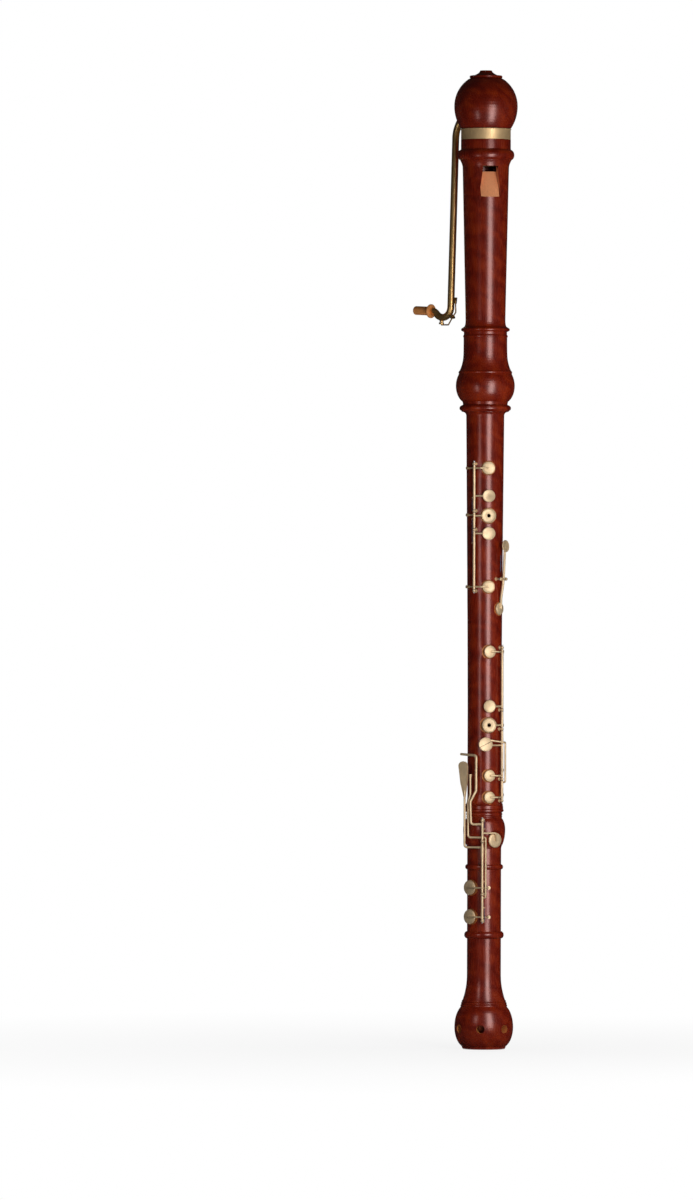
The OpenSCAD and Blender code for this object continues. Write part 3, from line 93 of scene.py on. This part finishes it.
class RecorderWood(bpy.types.PropertyGroup):
    """The stained, lacquered wood"""

    deep: colour("Deep stain", "Colour in the grain's dark streaks", (0.084, 0.0034, 0.0006))
    red: colour("Red stain", "Main colour of the wood", (0.150, 0.0076, 0.0010))
    glow: colour("Orange stain", "Colour of the pale patches", (0.240, 0.0215, 0.0018))
    bare: colour("Bare wood", "Unstained wood of the window's ramp", (0.80, 0.315, 0.14))
    cut: colour("Cut wood", "Unstained wood in the tone holes' seats and the vents", (0.56, 0.19, 0.05))
    roughness: share("Roughness", "Roughness of the lacquer", 0.25)
    fibre: length("Fibre", "Width of one grain streak", 0.55)
    patch: length("Patch", "Width of a patch in the stain", 11)


class RecorderMetal(bpy.types.PropertyGroup):
    """The brass of the keys and the bocal"""

    key_brass: colour("Key brass", "Pale lacquered brass of the keys", (0.95, 0.71, 0.43))
    band_brass: colour("Band brass", "Brushed brass of the cap's band", (0.93, 0.64, 0.33))
    dark_brass: colour("Dark brass", "Deeper brass of the bocal", (0.92, 0.57, 0.22))
    steel: colour("Steel", "Rods and screws", (0.50, 0.49, 0.47))
    blued: colour("Blued steel", "Needle springs", (0.055, 0.07, 0.12))
    roughness: share("Roughness", "Roughness of the satin brass", 0.56)
    edge: length("Edge", "Rounding of the keys' edges", 0.22)


class RecorderSoft(bpy.types.PropertyGroup):
    """Pads, corks and the mouthpiece"""

    leather: colour("Pad leather", "Colour of the pads", (0.62, 0.40, 0.24))
    cork: colour("Cork", "Colour of the corks", (0.45, 0.25, 0.11))
    resin: colour("Resin", "Thumb bush", (0.78, 0.72, 0.58))
    mouthpiece: colour("Mouthpiece", "Colour of the mouthpiece", (0.62, 0.24, 0.068))
    pad_round: length("Pad rounding", "Rounding of a pad's edge", 0.55)
    pad_crown: length("Pad crown", "How far a pad's face bulges", 0.12)


class RecorderStage(bpy.types.PropertyGroup):
    """Camera, lamps and floor"""

    azimuth: FloatProperty(name="Azimuth", description="Where the camera stands", unit="ROTATION",
                           default=math.radians(-12))
    distance: length("Distance", "From the bore to the camera", 12000)
    height: length("Height", "Height of the level camera", 574)
    view_height: length("View height", "Height that the view takes in at the bore", 1536)
    bore_right: length("Bore right", "How far right of the view's middle the bore stands", 177)
    roll: FloatProperty(name="Roll", description="Turn of the camera about its view", unit="ROTATION",
                        default=math.radians(0.14))


# Materials


class Shader:
    """A material whose nodes are added one call at a time."""

    def __init__(self, name):
        self.material = bpy.data.materials.new(name)
        self.material.use_nodes = True
        self.tree = self.material.node_tree
        self.bsdf = self.tree.nodes["Principled BSDF"]

    def add(self, kind, **settings):
        node = self.tree.nodes.new(kind)
        for key, value in settings.items():
            setattr(node, key, value)
        return node

    def link(self, source, target):
        self.tree.links.new(source, target)

    def set(self, **sockets):
        for name, value in sockets.items():
            self.bsdf.inputs[name.replace("_", " ")].default_value = value

    def place(self, scale=(1, 1, 1)):
        """Object coordinates, stretched."""
        coordinates = self.add("ShaderNodeTexCoord")
        mapping = self.add("ShaderNodeMapping")
        mapping.inputs["Scale"].default_value = scale
        self.link(coordinates.outputs["Object"], mapping.inputs["Vector"])
        return mapping.outputs["Vector"]

    def noise(self, place, scale, detail, roughness, distortion=0.0):
        node = self.add("ShaderNodeTexNoise")
        node.inputs["Scale"].default_value = scale
        node.inputs["Detail"].default_value = detail
        node.inputs["Roughness"].default_value = roughness
        node.inputs["Distortion"].default_value = distortion
        self.link(place, node.inputs["Vector"])
        return node.outputs["Fac"]

    def bands(self, place, scale, distortion, detail_scale):
        node = self.add("ShaderNodeTexWave", bands_direction="DIAGONAL")
        node.inputs["Scale"].default_value = scale
        node.inputs["Distortion"].default_value = distortion
        node.inputs["Detail Scale"].default_value = detail_scale
        self.link(place, node.inputs["Vector"])
        return node.outputs["Fac"]

    def maths(self, operation, a, b):
        node = self.add("ShaderNodeMath", operation=operation)
        for socket, value in zip(node.inputs, (a, b)):
            if isinstance(value, (int, float)):
                socket.default_value = value
            else:
                self.link(value, socket)
        return node.outputs[0]

    def spread(self, value, low, high, out_low, out_high):
        node = self.add("ShaderNodeMapRange")
        for name, number in zip(("From Min", "From Max", "To Min", "To Max"), (low, high, out_low, out_high)):
            node.inputs[name].default_value = number
        self.link(value, node.inputs["Value"])
        return node.outputs["Result"]

    def ramp(self, value, *stops):
        node = self.add("ShaderNodeValToRGB")
        elements = node.color_ramp.elements
        while len(elements) < len(stops):
            elements.new(0.5)
        for element, (position, rgb) in zip(elements, stops):
            element.position = position
            element.color = (*rgb, 1)
        self.link(value, node.inputs["Fac"])
        return node.outputs["Color"]

    def bump(self, height, distance, strength):
        node = self.add("ShaderNodeBump")
        node.inputs["Strength"].default_value = strength
        node.inputs["Distance"].default_value = distance
        self.link(height, node.inputs["Height"])
        self.link(node.outputs["Normal"], self.bsdf.inputs["Normal"])


def stained_wood(wood):
    """Red stain over fine straight grain, soft patches and a faint cross figure, under satin lacquer."""
    s = Shader("stained_wood")
    streaks = s.noise(s.place((1, 1, 0.035)), 1 / wood.fibre, 4, 0.6)
    patches = s.noise(s.place((1, 1, 0.4)), 1 / wood.patch, 3, 0.5, 0.6)
    figure = s.bands(s.place((0.6, 0.6, 1)), 26, 5.5, 2.2)
    mixed = s.maths("ADD", s.maths("MULTIPLY", streaks, 0.42), s.maths("MULTIPLY", patches, 0.5))
    mixed = s.maths("ADD", mixed, s.maths("MULTIPLY", figure, 0.14))
    stain = s.ramp(mixed, (0.3, wood.deep), (0.5, wood.red), (0.72, wood.glow))
    s.link(stain, s.bsdf.inputs["Base Color"])
    dullness = s.spread(streaks, 0.3, 0.7, wood.roughness - 0.04, wood.roughness + 0.07)
    s.link(dullness, s.bsdf.inputs["Roughness"])
    s.set(Specular_IOR_Level=0.9, Specular_Tint=(1, 0.64, 0.6, 1))
    s.bump(streaks, 0.02 * MM, 0.5)
    return s.material


def bare_wood(name, base):
    """Pale unstained wood with fine fibres."""
    s = Shader(name)
    fibre = 0.5 * MM
    streaks = s.noise(s.place((1, 1, 0.06)), 1 / fibre, 4, 0.6)
    dark = tuple(c * 0.72 for c in base)
    pale = tuple(min(1, c * 1.18) for c in base)
    s.link(s.ramp(streaks, (0.3, dark), (0.52, base), (0.74, pale)), s.bsdf.inputs["Base Color"])
    s.set(Roughness=0.55, Specular_IOR_Level=0.3)
    s.bump(streaks, 0.05 * MM, 0.6)
    return s.material


def satin_metal(name, base, roughness, tarnish=0.82, brushed=(1, 1, 1), metallic=0.74, lacquer=0.0):
    """Brushed metal with fine marks and slow changes of tone."""
    s = Shader(name)
    tone = s.noise(s.place(), 70, 3, 0.6)
    marks = s.noise(s.place(brushed), 1800, 2, 0.6)
    dull = tuple(c * tarnish for c in base)
    s.link(s.ramp(tone, (0.32, dull), (0.62, base)), s.bsdf.inputs["Base Color"])
    s.link(s.spread(marks, 0.25, 0.75, roughness * 0.75, roughness * 1.35), s.bsdf.inputs["Roughness"])
    s.set(Metallic=metallic, Coat_Weight=lacquer, Coat_Roughness=0.5)
    s.bump(marks, 0.012 * MM, 0.5)
    return s.material


def soft_leather(base):
    """Fine-grained pad leather."""
    s = Shader("pad_leather")
    grain = s.noise(s.place(), 2600, 3, 0.6)
    tone = s.noise(s.place(), 300, 2, 0.5)
    dull = tuple(c * 0.7 for c in base)
    s.link(s.ramp(tone, (0.3, dull), (0.65, base)), s.bsdf.inputs["Base Color"])
    s.set(Roughness=0.62, Sheen_Weight=0.15)
    s.bump(grain, 0.05 * MM, 0.7)
    return s.material


def speckled_cork(base):
    """Cork with dark pores."""
    s = Shader("cork")
    cells = s.add("ShaderNodeTexVoronoi")
    cells.inputs["Scale"].default_value = 1100
    s.link(s.place(), cells.inputs["Vector"])
    pores = s.noise(s.place(), 700, 4, 0.7)
    dark = tuple(c * 0.38 for c in base)
    s.link(s.ramp(pores, (0.36, dark), (0.46, base)), s.bsdf.inputs["Base Color"])
    s.set(Roughness=0.85, Specular_IOR_Level=0.2)
    s.bump(cells.outputs["Distance"], 0.08 * MM, 0.6)
    return s.material


def smooth_resin(base):
    """Ivory-coloured resin."""
    s = Shader("resin")
    veins = s.noise(s.place((1, 1, 0.3)), 400, 3, 0.5)
    dull = tuple(c * 0.86 for c in base)
    s.link(s.ramp(veins, (0.35, dull), (0.6, base)), s.bsdf.inputs["Base Color"])
    s.set(Roughness=0.28)
    return s.material


FINISH = {}


def make_finishes(scene):
    wood, metal, soft = scene.recorder_wood, scene.recorder_metal, scene.recorder_soft
    FINISH.update(
        wood=stained_wood(wood),
        bare=bare_wood("bare_wood", tuple(wood.bare)),
        cut=bare_wood("cut_wood", tuple(wood.cut)),
        cedar=bare_wood("block_cedar", (0.52, 0.26, 0.12)),
        mouthpiece=bare_wood("mouthpiece_wood", tuple(soft.mouthpiece)),
        brass=satin_metal("key_brass", tuple(metal.key_brass), metal.roughness, lacquer=1.0),
        band=satin_metal("band_brass", tuple(metal.band_brass), metal.roughness * 0.85, 0.9, (1, 1, 12)),
        dark_brass=satin_metal(
            "bocal_brass", tuple(metal.dark_brass), metal.roughness * 0.62, 0.8, metallic=0.95
        ),
        steel=satin_metal("steel", tuple(metal.steel), 0.3),
        blued=satin_metal("blued_steel", tuple(metal.blued), 0.25),
        leather=soft_leather(tuple(soft.leather)),
        cork=speckled_cork(tuple(soft.cork)),
        resin=smooth_resin(tuple(soft.resin)),
    )


# Which finish each CAD node takes, by a part of its name
NODE_FINISH = (
    ("cork", "cork"), ("springs", "blued"), ("seesaw_spring", "blued"), ("hinge_rod", "steel"),
    ("_pin", "steel"), ("screws", "steel"), ("pad_", "leather"), ("thumb_bush", "resin"),
    ("mouthpiece", "mouthpiece"), ("block", "cedar"), ("cap_band", "band"), ("bocal", "dark_brass"),
    ("water_key", "dark_brass"), ("_joint", "wood"),
)
PADS = sorted(n for n in frame["nodes"] if n.startswith("pad_"))
# The key bodies whose pads close holes in each joint
KEYS_ON = {
    "foot_joint": ("key_7a", "key_7b", "key_7c"),
    "middle_joint": ("key_1", "key_2", "key_3", "key_seesaw", "key_4", "key_5", "key_6a", "key_6b"),
}
# How far a seat's bare wood reaches past its pad's rim, which is less on the foot's bulb, and how far
# it reaches below and above the pad
USUAL_RIM = 2.9 * MM
SEAT_RIM = {"pad_7c": 0.5 * MM}
SEAT_BELOW = 9 * MM
SEAT_ABOVE = 3 * MM
# The window's ramp: half its width, the plane it lies in front of, and its ends below the block's foot
RAMP_HALF = 13.5 * MM
RAMP_FRONT = -18 * MM
RAMP_END = 38.5 * MM
RAMP_START = 4 * MM
# Least sideways part of the normal of the ramp's side walls, and the most of its floor
WALL_TURN = 0.9
FLOOR_TURN = 0.35
# Heights between which the bell's vents lie, and the most that their walls face the bore
VENTS = (18 * MM, 35 * MM)
VENT_TURN = 0.55
# Fittings whose edges are rounded, with their rounding as a share of a key's
ROUNDED = {"thumb_rest": 2.6, "sling_plate": 1.6, "cap_band": 0.8, "thumb_bush": 1.2, "bocal_socket": 1.0}


def node_finish(name):
    if name == "cap":
        return "wood"
    return next((finish for part, finish in NODE_FINISH if part in name), "brass")


def paint(obj, finish):
    obj.data.materials.clear()
    obj.data.materials.append(FINISH[finish])


# Mesh tools

# Edges that turn more than this are sharp
SHARP_FROM = math.radians(40)


def add_piece(name, bm, finish, body, replaced):
    """Makes an object of a bmesh that is already in place, to ride on a body instead of a CAD node."""
    bmesh.ops.remove_doubles(bm, verts=bm.verts, dist=1e-7)
    bmesh.ops.recalc_face_normals(bm, faces=bm.faces)
    mesh = bpy.data.meshes.new(name)
    bm.to_mesh(mesh)
    bm.free()
    obj = bpy.data.objects.new(name, mesh)
    bpy.context.scene.collection.objects.link(obj)
    mesh.shade_smooth()
    mesh.set_sharp_from_angle(angle=SHARP_FROM)
    paint(obj, finish)
    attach(obj, body)
    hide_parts(replaced)
    return obj


def spin_profile(bm, profile, place):
    """Turns a profile of (radius, height) points round +Z, then puts it in its place."""
    verts = [bm.verts.new((r, 0, z)) for r, z in profile]
    edges = [bm.edges.new(pair) for pair in zip(verts, verts[1:])]
    bmesh.ops.spin(
        bm, geom=verts + edges, cent=(0, 0, 0), axis=(0, 0, 1), dvec=(0, 0, 0),
        angle=math.tau, steps=64, use_merge=True, use_duplicate=False,
    )
    bmesh.ops.remove_doubles(bm, verts=bm.verts, dist=1e-7)
    bmesh.ops.transform(bm, matrix=place, verts=bm.verts)


def lower_corner(radius, height, edge, count=6):
    """Points of the quarter arc from straight down to straight out, round (radius, height)."""
    turns = [math.radians(-90 + 90 * i / count) for i in range(count + 1)]
    return [(radius + edge * math.cos(t), height + edge * math.sin(t)) for t in turns]


def facing(point, direction):
    """A frame at a point whose +Z is a direction."""
    turn = direction.to_track_quat("Z", "Y").to_matrix().to_4x4()
    return Matrix.Translation(point) @ turn


# Name, turn from the camera in degrees, distance, height, width and tallness in metres, radiance, and
# whether reflections show it
LAMPS = (
    ("key_lamp", 24, 1.25, 0.59, 0.47, 1.26, 6.6, True),
    ("side_lamp", 76, 1.7, 0.7, 1.0, 1.7, 1.1, False),
    ("back_lamp", 170, 1.25, 0.62, 0.45, 1.3, 4.2, False),
    ("far_left_lamp", -125, 1.7, 0.7, 0.9, 1.5, 0.9, False),
    ("left_strip", -33, 1.3, 0.57, 0.17, 0.52, 4.2, True),
)


# Operators


class RECORDER_OT_finish(bpy.types.Operator):
    """Gives every carried-over piece its finish"""

    bl_idname = "recorder.finish"
    bl_label = "Finish the frame"

    def execute(self, context):
        make_finishes(context.scene)
        for name, node in frame["nodes"].items():
            paint(node, node_finish(name))
        return {"FINISHED"}


class RECORDER_OT_cuts(bpy.types.Operator):
    """Bares the wood on the window's ramp, in the tone holes' seats and in the bell's vents"""

    bl_idname = "recorder.cuts"
    bl_label = "Bare the cuts"

    def execute(self, context):
        block_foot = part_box("block")[0].z
        for face in second_finish("head_joint", "bare"):
            c, n = face.center, face.normal
            beside = abs(c.x) < RAMP_HALF and c.y < RAMP_FRONT
            along = block_foot - RAMP_END < c.z < block_foot - RAMP_START
            wall = abs(n.x) > WALL_TURN
            floor = abs(n.x) < FLOOR_TURN and n.z > 0.02
            if beside and along and (wall or floor):
                face.material_index = 1
        for name in ("foot_joint", "middle_joint"):
            seats = [(*disc_of(pad)[:4], SEAT_RIM.get(pad, USUAL_RIM))
                     for pad in PADS if BODY_OF[pad] in KEYS_ON[name]]
            node = frame["nodes"][name]
            for face in second_finish(name, "cut"):
                c, n = face.center, face.normal
                across = abs(n.dot(Vector((c.x, c.y, 0)).normalized())) < VENT_TURN
                vent = name == "foot_joint" and VENTS[0] < c.z < VENTS[1] and across
                corners = [node.data.vertices[i].co for i in face.vertices]
                if vent or any(all(in_seat(p, seat) for p in corners) for seat in seats):
                    face.material_index = 1
        return {"FINISHED"}


def second_finish(name, finish):
    """Adds a second finish to a wooden joint, and gives back its faces."""
    node = frame["nodes"][name]
    node.data.materials.append(FINISH[finish])
    return node.data.polygons


def disc_of(name):
    """Centre, outward direction, radius, thickness and hole of a round pad, from its flat faces."""
    mesh = frame["nodes"][name].data
    sides = {}
    for face in mesh.polygons:
        sides.setdefault(tuple(round(c, 2) for c in face.normal), []).append(face)
    flat = max(sides.values(), key=lambda faces: sum(face.area for face in faces))
    area = sum(face.area for face in flat)
    centre = sum((face.center * face.area for face in flat), Vector()) / area
    outward = flat[0].normal.copy()
    if outward.dot(Vector((centre.x, centre.y, 0))) < 0:
        outward.negate()
    heights = [(v.co - centre).dot(outward) for v in mesh.vertices]
    centre += outward * (max(heights) + min(heights)) / 2
    spokes = [(v.co - centre) - outward * (v.co - centre).dot(outward) for v in mesh.vertices]
    radius, inner = max(s.length for s in spokes), min(s.length for s in spokes)
    return centre, outward, radius, max(heights) - min(heights), inner if inner < 0.8 * radius else 0


def in_seat(point, seat):
    """Whether a point lies in the pocket below a pad."""
    centre, outward, radius, thick, rim = seat
    away = point - centre
    height = away.dot(outward)
    beside = (away - outward * height).length
    return -SEAT_BELOW < height < thick + SEAT_ABOVE and beside < radius + rim


class RECORDER_OT_pads(bpy.types.Operator):
    """Turns the leather pads that sit in the key cups"""

    bl_idname = "recorder.pads"
    bl_label = "Pads"

    def execute(self, context):
        soft = context.scene.recorder_soft
        for node in PADS:
            centre, outward, radius, thick, hole = disc_of(node)
            edge, low = soft.pad_round, -thick / 2
            profile = lower_corner(radius - edge, low + edge, edge) + [(radius, thick / 2)]
            if hole:
                profile = [(hole, thick / 2), (hole, low + edge / 2), (hole + edge / 2, low)] + profile
                profile.append((hole, thick / 2))
            else:
                crown = low - soft.pad_crown
                profile = [(0, crown), (radius * 0.5, crown + 0.2 * soft.pad_crown)] + profile
                profile.append((0, thick / 2))
            bm = bmesh.new()
            spin_profile(bm, profile, facing(centre, outward))
            pad = add_piece(f"leather_{node}", bm, "leather", BODY_OF[node], node)
        return {"FINISHED"}


class RECORDER_OT_fittings(bpy.types.Operator):
    """Rounds the edges of the keys, plates and small fittings"""

    bl_idname = "recorder.fittings"
    bl_label = "Fittings"

    def execute(self, context):
        metal = context.scene.recorder_metal
        names = [n for n in frame["nodes"] if n.startswith("key_")]
        for name in sorted(names) + list(ROUNDED):
            bm = bmesh.new()
            bm.from_mesh(frame["nodes"][name].data)
            bmesh.ops.remove_doubles(bm, verts=bm.verts, dist=2e-6)
            bmesh.ops.dissolve_limit(bm, angle_limit=math.radians(0.5), verts=bm.verts, edges=bm.edges)
            piece = add_piece(f"round_{name}", bm, node_finish(name), BODY_OF[name], name)
            bevel = piece.modifiers.new("edge", "BEVEL")
            bevel.width = ROUNDED.get(name, 1) * metal.edge
            bevel.segments = 2
            bevel.limit_method = "ANGLE"
            bevel.angle_limit = SHARP_FROM
        return {"FINISHED"}


class RECORDER_OT_stage(bpy.types.Operator):
    """Sets up the floor, lamps, world and camera"""

    bl_idname = "recorder.stage"
    bl_label = "Stage"

    def execute(self, context):
        scene = context.scene
        setup = scene.recorder_stage
        make_floor()
        make_drape()
        make_world(scene)
        for name, turn, distance, height, wide, tall, radiance, reflected in LAMPS:
            azimuth = setup.azimuth + math.radians(turn)
            lamp = make_lamp(name, azimuth, distance, height, wide, tall, radiance)
            lamp.visible_glossy = reflected
        make_camera(scene, setup)
        scene.view_settings.view_transform = "Standard"
        return {"FINISHED"}


def add_stage(name, bm, height, material):
    """Makes a piece of the set of a bmesh, at a height."""
    mesh = bpy.data.meshes.new(name)
    bm.to_mesh(mesh)
    bm.free()
    mesh.materials.append(material)
    obj = bpy.data.objects.new(name, mesh)
    obj.location.z = height
    bpy.context.scene.collection.objects.link(obj)
    return obj


def make_floor():
    """A pale round floor, just under the bell, that melts into the backdrop."""
    bm = bmesh.new()
    bmesh.ops.create_circle(bm, cap_ends=True, radius=6, segments=96)
    s = Shader("floor_paint")
    s.set(Base_Color=(0.86, 0.86, 0.86, 1), Roughness=0.9, Specular_IOR_Level=0.0)
    glow = s.add("ShaderNodeEmission")
    mix = s.add("ShaderNodeMixShader")
    out = s.tree.nodes["Material Output"]
    path = s.add("ShaderNodeLightPath")
    seen = s.maths("MAXIMUM", path.outputs["Is Camera Ray"],
                   s.maths("MAXIMUM", path.outputs["Is Glossy Ray"], path.outputs["Is Transmission Ray"]))
    spot = s.add("ShaderNodeTexGradient", gradient_type="SPHERICAL")
    s.link(s.place((0.8, 0.8, 0.8)), spot.inputs["Vector"])
    # Shadows show near the object, and the rim melts into the backdrop
    share_of_glow = s.spread(spot.outputs["Fac"], 0.1, 0.95, 1, 0.86)
    s.link(s.maths("MULTIPLY", seen, share_of_glow), mix.inputs["Fac"])
    s.link(s.bsdf.outputs["BSDF"], mix.inputs[1])
    s.link(glow.outputs["Emission"], mix.inputs[2])
    s.link(mix.outputs["Shader"], out.inputs["Surface"])
    add_stage("floor", bm, CAD_BOX[0].z - 0.2 * MM, s.material)


def make_drape():
    """A dark closed drum round the set that only reflections see, as a studio's dark walls."""
    bm = bmesh.new()
    bmesh.ops.create_cone(bm, cap_ends=True, segments=64, radius1=2.6, radius2=2.6, depth=3)
    s = Shader("drape_cloth")
    s.set(Base_Color=(0.02, 0.02, 0.02, 1), Roughness=1.0, Specular_IOR_Level=0.0,
          Emission_Color=(0.015, 0.015, 0.015, 1), Emission_Strength=1.0)
    drape = add_stage("drape", bm, 1.501, s.material)
    for ray in ("camera", "diffuse", "transmission", "volume_scatter", "shadow"):
        setattr(drape, f"visible_{ray}", False)


def make_world(scene):
    """White to the camera and in reflections, and dim as a light."""
    world = bpy.data.worlds.new("studio")
    scene.world = world
    world.use_nodes = True
    tree = world.node_tree
    nodes = tree.nodes
    background = nodes["Background"]
    background.inputs["Color"].default_value = (1, 1, 1, 1)
    path = nodes.new("ShaderNodeLightPath")
    seen = path.outputs["Is Camera Ray"]
    for ray in ("Is Glossy Ray", "Is Transmission Ray"):
        most = nodes.new("ShaderNodeMath")
        most.operation = "MAXIMUM"
        tree.links.new(seen, most.inputs[0])
        tree.links.new(path.outputs[ray], most.inputs[1])
        seen = most.outputs[0]
    level = nodes.new("ShaderNodeMapRange")
    level.inputs["To Min"].default_value = 0.06
    level.inputs["To Max"].default_value = 1.0
    tree.links.new(seen, level.inputs["Value"])
    tree.links.new(level.outputs["Result"], background.inputs["Strength"])


def stand_at(azimuth, distance, height):
    return Vector((math.sin(azimuth) * distance, -math.cos(azimuth) * distance, height))


def make_lamp(name, azimuth, distance, height, wide, tall, radiance):
    data = bpy.data.lights.new(name, "AREA")
    data.shape = "RECTANGLE"
    data.size, data.size_y = wide, tall
    data.energy = radiance * math.pi * wide * tall
    lamp = bpy.data.objects.new(name, data)
    lamp.location = stand_at(azimuth, distance, height)
    lamp.rotation_euler = (math.pi / 2, 0, azimuth)
    bpy.context.scene.collection.objects.link(lamp)
    return lamp


def make_camera(scene, setup):
    data = bpy.data.cameras.new("camera")
    data.lens = data.sensor_width * setup.distance / setup.view_height
    data.clip_end = 100
    camera = bpy.data.objects.new("camera", data)
    camera.location = stand_at(setup.azimuth, setup.distance, setup.height)
    aside = math.atan(setup.bore_right / setup.distance)
    turn = Matrix.Rotation(setup.azimuth + aside, 3, "Z") @ Matrix.Rotation(math.pi / 2, 3, "X")
    camera.rotation_euler = (turn @ Matrix.Rotation(setup.roll, 3, "Z")).to_euler()
    scene.collection.objects.link(camera)
    scene.camera = camera


class RECORDER_PT_panel(bpy.types.Panel):
    """Lists the recorder's settings and steps"""

    bl_label = "Recorder"
    bl_idname = "RECORDER_PT_panel"
    bl_space_type = "VIEW_3D"
    bl_region_type = "UI"
    bl_category = "Recorder"

    def draw(self, context):
        for name, group in GROUPS:
            box = self.layout.box()
            box.label(text=group.__doc__)
            settings = getattr(context.scene, name)
            for key in group.__annotations__:
                box.prop(settings, key)
        for step in STEPS:
            self.layout.operator(step.bl_idname)


GROUPS = (
    ("recorder_wood", RecorderWood), ("recorder_metal", RecorderMetal),
    ("recorder_soft", RecorderSoft), ("recorder_stage", RecorderStage),
)
STEPS = (
    RECORDER_OT_finish, RECORDER_OT_cuts, RECORDER_OT_pads, RECORDER_OT_fittings, RECORDER_OT_stage,
)


def register():
    for name, group in GROUPS:
        bpy.utils.register_class(group)
        setattr(bpy.types.Scene, name, PointerProperty(type=group))
    for step in STEPS:
        bpy.utils.register_class(step)
    bpy.utils.register_class(RECORDER_PT_panel)


def unregister():
    bpy.utils.unregister_class(RECORDER_PT_panel)
    for step in reversed(STEPS):
        bpy.utils.unregister_class(step)
    for name, group in reversed(GROUPS):
        delattr(bpy.types.Scene, name)
        bpy.utils.unregister_class(group)


def main():
    register()
    for step in STEPS:
        group, operation = step.bl_idname.split(".")
        getattr(getattr(bpy.ops, group), operation)()


if __name__ == "__main__":
    main()
